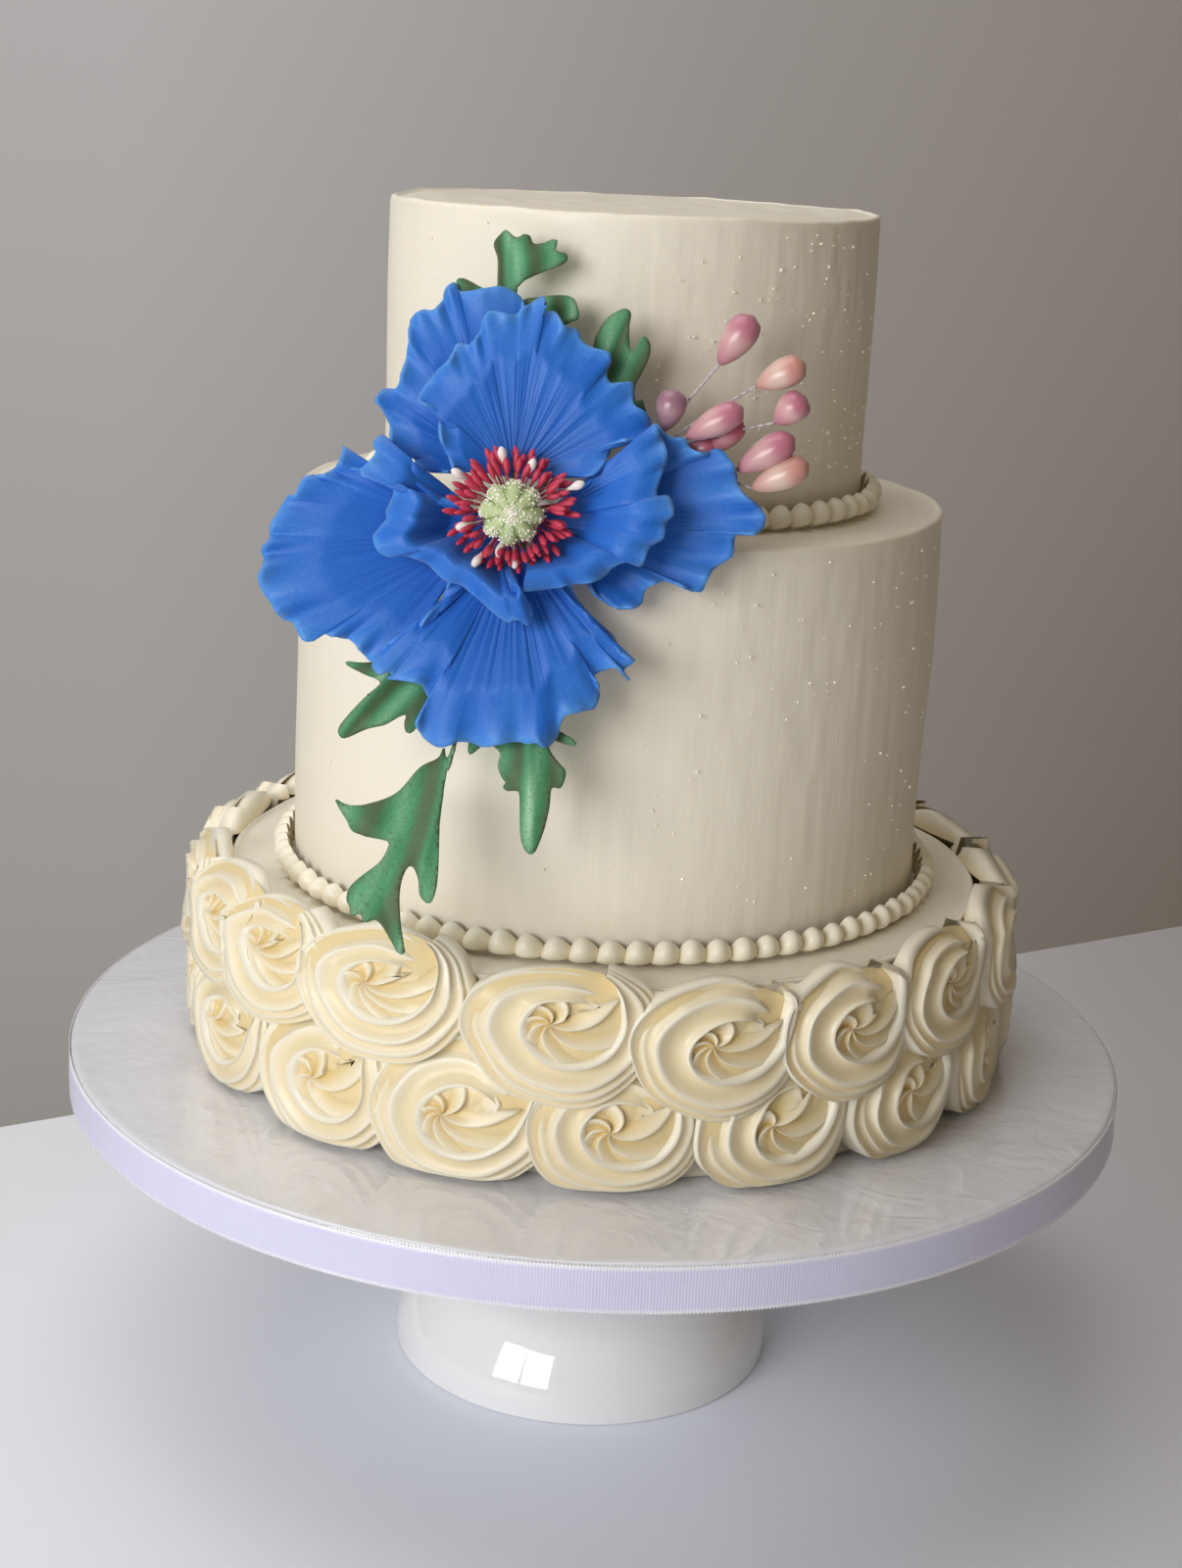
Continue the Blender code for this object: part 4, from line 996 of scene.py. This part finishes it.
make_leaf("hanging_leaf", "leaf_hanging", (-3, -10), (-30, -119), -10, [
    (-16.5, -63.5), (-19, -64.5), (-20.5, -67.5), (-25.5, -70), (-32, -77), (-40, -80), (-45, -80),
    (-48.5, -78.7), (-45, -84.5), (-43.5, -87), (-39, -88.5), (-34, -89.5), (-33.8, -91), (-36, -95),
    (-41, -99), (-44, -102), (-44.7, -105), (-43.8, -107), (-43.5, -109.5), (-41, -108.7),
    (-40, -111.2), (-36.5, -110.5), (-33, -115.5), (-30.5, -119.3), (-29, -118.5), (-30, -112),
    (-30.5, -105), (-30, -100), (-28.5, -96.5), (-27, -96.3), (-25.5, -99), (-25, -103.5),
    (-23, -105.8), (-21.5, -105), (-20.3, -100), (-20, -90), (-19.8, -83), (-18, -71), (-16, -65.5)],
    lift=1.0, seed=1)
make_leaf("lower_leaf", "leaf_lower", (2, -10), (5, -93), -15, [
    (-3.5, -60), (-11, -62), (-12.5, -65), (-11.7, -66.7), (-7.5, -63.8), (-3.8, -66), (-4.3, -69.5),
    (-3.3, -72.5), (-2, -74.3), (-3, -75), (-1.8, -76.3), (0.5, -76.3), (1.8, -77.5), (2, -87),
    (2.7, -91), (4, -93), (5.2, -93.3), (6.5, -91.5), (8.5, -86.5), (9.8, -81), (10.3, -76),
    (11, -75.2), (13, -75.3), (14.2, -71.2), (12.5, -69), (10, -65.5), (9.5, -62.5), (14, -63.7),
    (17.2, -64.2), (16, -62.3), (13, -60.5), (8, -56)], lift=1.2, seed=2)
make_leaf("lower_left_leaf", "leaf_lower_left", (-7, -7), (-47, -61), -15, [
    (-27, -38), (-38.5, -41.5), (-45.5, -41.2), (-45, -42.5), (-40, -45), (-37, -46.2), (-36.5, -47.5),
    (-40, -50.5), (-46, -57), (-47.7, -60), (-46.8, -62), (-45, -61.8), (-40, -59.5), (-35, -58.3),
    (-31, -56.2), (-29.3, -55.8), (-29.7, -58), (-29.3, -60.3), (-27.8, -60.6), (-26, -58.5),
    (-24.5, -55.5), (-22.3, -52.3), (-20, -42), (-22, -31)], lift=1.0, seed=3)
make_leaf("top_leaf", "leaf_top", (-1, 10), (-2, 76), -18, [
    (-8, 54), (-14, 58.5), (-16, 62.5), (-14, 63.3), (-8, 60.5), (-5, 61), (-4.7, 64), (-4.7, 69),
    (-5.8, 73), (-3.5, 76), (-2.2, 76.6), (-0.5, 75), (1, 74.5), (2, 75.3), (4, 75), (5, 72.8),
    (8, 73), (10, 74), (11.7, 73.7), (11.2, 71), (14, 70.2), (14.3, 68.5), (12, 66.8), (5, 64),
    (1.5, 61.5), (0.5, 56)], lift=0.8, seed=4)
make_leaf("upper_right_leaf", "leaf_upper_right", (3, 10), (17, 56), -18, [
    (4, 50), (2, 57), (5, 58), (12, 58.7), (16, 58), (17.8, 53), (16.5, 52), (12.5, 50), (9, 46)],
    lift=0.6, seed=5)
make_leaf("right_leaf", "leaf_right", (7, 6), (31, 55), -16, [
    (20, 37), (21.5, 44.5), (22.5, 48), (25, 52), (28, 54.3), (30.5, 55), (31.8, 53.5), (31.2, 50),
    (31.3, 45), (31.6, 43.5), (33, 44.5), (34.2, 46.8), (35.6, 47.5), (37, 45.5), (36.8, 42),
    (34.5, 37), (33, 34), (33, 30), (34.8, 30.3), (35.5, 28), (35.3, 26.8), (24, 31)], lift=1.4, seed=6)

# ---- Bud spray: nine long sugar buds on thin wires, taped together behind the petals ----
# Pink and peach petal dust under a pearl lustre; the tips are the strongest pink.

bud_materials = {}
for name, tip_code, body_code in (("mauve", "9A7084", "B48E9A"), ("pink", "BC748A", "D2A8A8"),
                                  ("peach", "CC9288", "DCC2B6"), ("rose", "B45C72", "C88C96")):
    paste, tree, shader = new_material(f"{name} lustred sugar paste", Roughness=0.3, IOR=1.45,
                                       Coat_Weight=0.35, Coat_Roughness=0.2, Sheen_Weight=0.15,
                                       Subsurface_Weight=0.1, Subsurface_Scale=0.001)
    share = add(tree, "Attribute", {"attribute_name": "share"}).outputs["Fac"]
    blotch = add(tree, "TexNoise", {"Scale": 160.0, "Detail": 2.0})
    mixed = add(tree, "Math", {"operation": "MULTIPLY_ADD", 1: 0.5}, {0: blotch.outputs[0], 2: share})
    tint = ramp(tree, mixed.outputs[0], [(0.15, tip_code), (0.75, body_code), (1.3, tip_code)])
    tree.links.new(tint, shader.inputs["Base Color"])
    bud_materials[name] = paste
wire_tape, _, _ = new_material("white florist's wire tape", Base_Color=colour("C6C0C4"), Roughness=0.6)

binding = np.array((36.0, 14.0, -21.5))
buds = ((41, 22, -17, 44, 33, -15, 4.4, "mauve"), (56, 40, -17, 65, 53, -14, 4.9, "pink"),
        (66, 34, -16, 79, 40, -13, 4.5, "peach"), (71, 24, -15, 79, 31, -12, 4.6, "pink"),
        (47, 20, -15, 62, 28, -11, 4.3, "pink"), (53, 16, -20, 62, 25, -18, 4.2, "rose"),
        (46, 16, -21, 56, 18, -20, 3.8, "rose"), (61, 11, -17, 76, 20, -13, 4.6, "pink"),
        (65, 6, -17, 80, 13, -14, 4.4, "peach"))
bud_shape = [0.12 + 1.85 * (t + 0.01) ** 0.8 * (1.0 - t) ** 0.45 for t in np.linspace(0.0, 1.0, 13)]
bud_shape = [min(1.06, r) for r in bud_shape[:-1]] + [0.12]
wires, wire_faces = [], []
for number, (u0, v0, w0, u1, v1, w1, radius, shade) in enumerate(buds):
    body, body_faces = [], []
    capsule(body, body_faces, (u0, v0, w0), (u1, v1, w1), [radius * s for s in bud_shape], 24)
    bud = build(f"bud_{number + 1}", on_flower(body), body_faces, bud_materials[shade])
    mark(bud, "share", [(i // 24) / (len(bud_shape) - 1) for i in range(len(body))])
    bud.data.set_sharp_from_angle(angle=math.radians(60))
    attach(bud, "root")
    if number == 0:
        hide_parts("bud_spray")
    bend = (np.array((u0, v0, w0)) * 0.45 + binding * 0.55) + np.array((0.0, 1.2, 0.6))
    path = smoothed([tuple(binding), tuple(bend), (u0, v0, w0)], 8)
    for a, b in zip(path, path[1:]):
        capsule(wires, wire_faces, a, b, [0.38, 0.38], 6)
capsule(wires, wire_faces, (12, 5, -23), tuple(binding), [1.2, 1.8], 8)
stems = build("spray_wires", on_flower(wires), wire_faces, wire_tape)
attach(stems, "root")

# ---- Sugar pearls and crystals strewn over the icing ----
# A few millimetre-size clear grains stick to the tiers, mostly on the right.

rng = np.random.default_rng(41)
strewn = []
for _ in range(240):
    right = rng.uniform() < 0.9
    azimuth = math.radians(rng.uniform(5.0, 75.0) if right else rng.uniform(-80.0, 5.0))
    if rng.uniform() < 0.5:
        radius, low, high = 0.1042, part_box("tier_middle")[0].z + 0.012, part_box("tier_middle")[1].z - 0.004
    else:
        radius, low, high = 0.0773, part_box("tier_top")[0].z + 0.012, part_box("tier_top")[1].z - 0.004
    strewn.append((radius * math.sin(azimuth), -radius * math.cos(azimuth), rng.uniform(low, high)))
pearls = grains("strewn_sugar", strewn, 0.00042, 0.45, 42, sugar_crystal)
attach(pearls, "root")
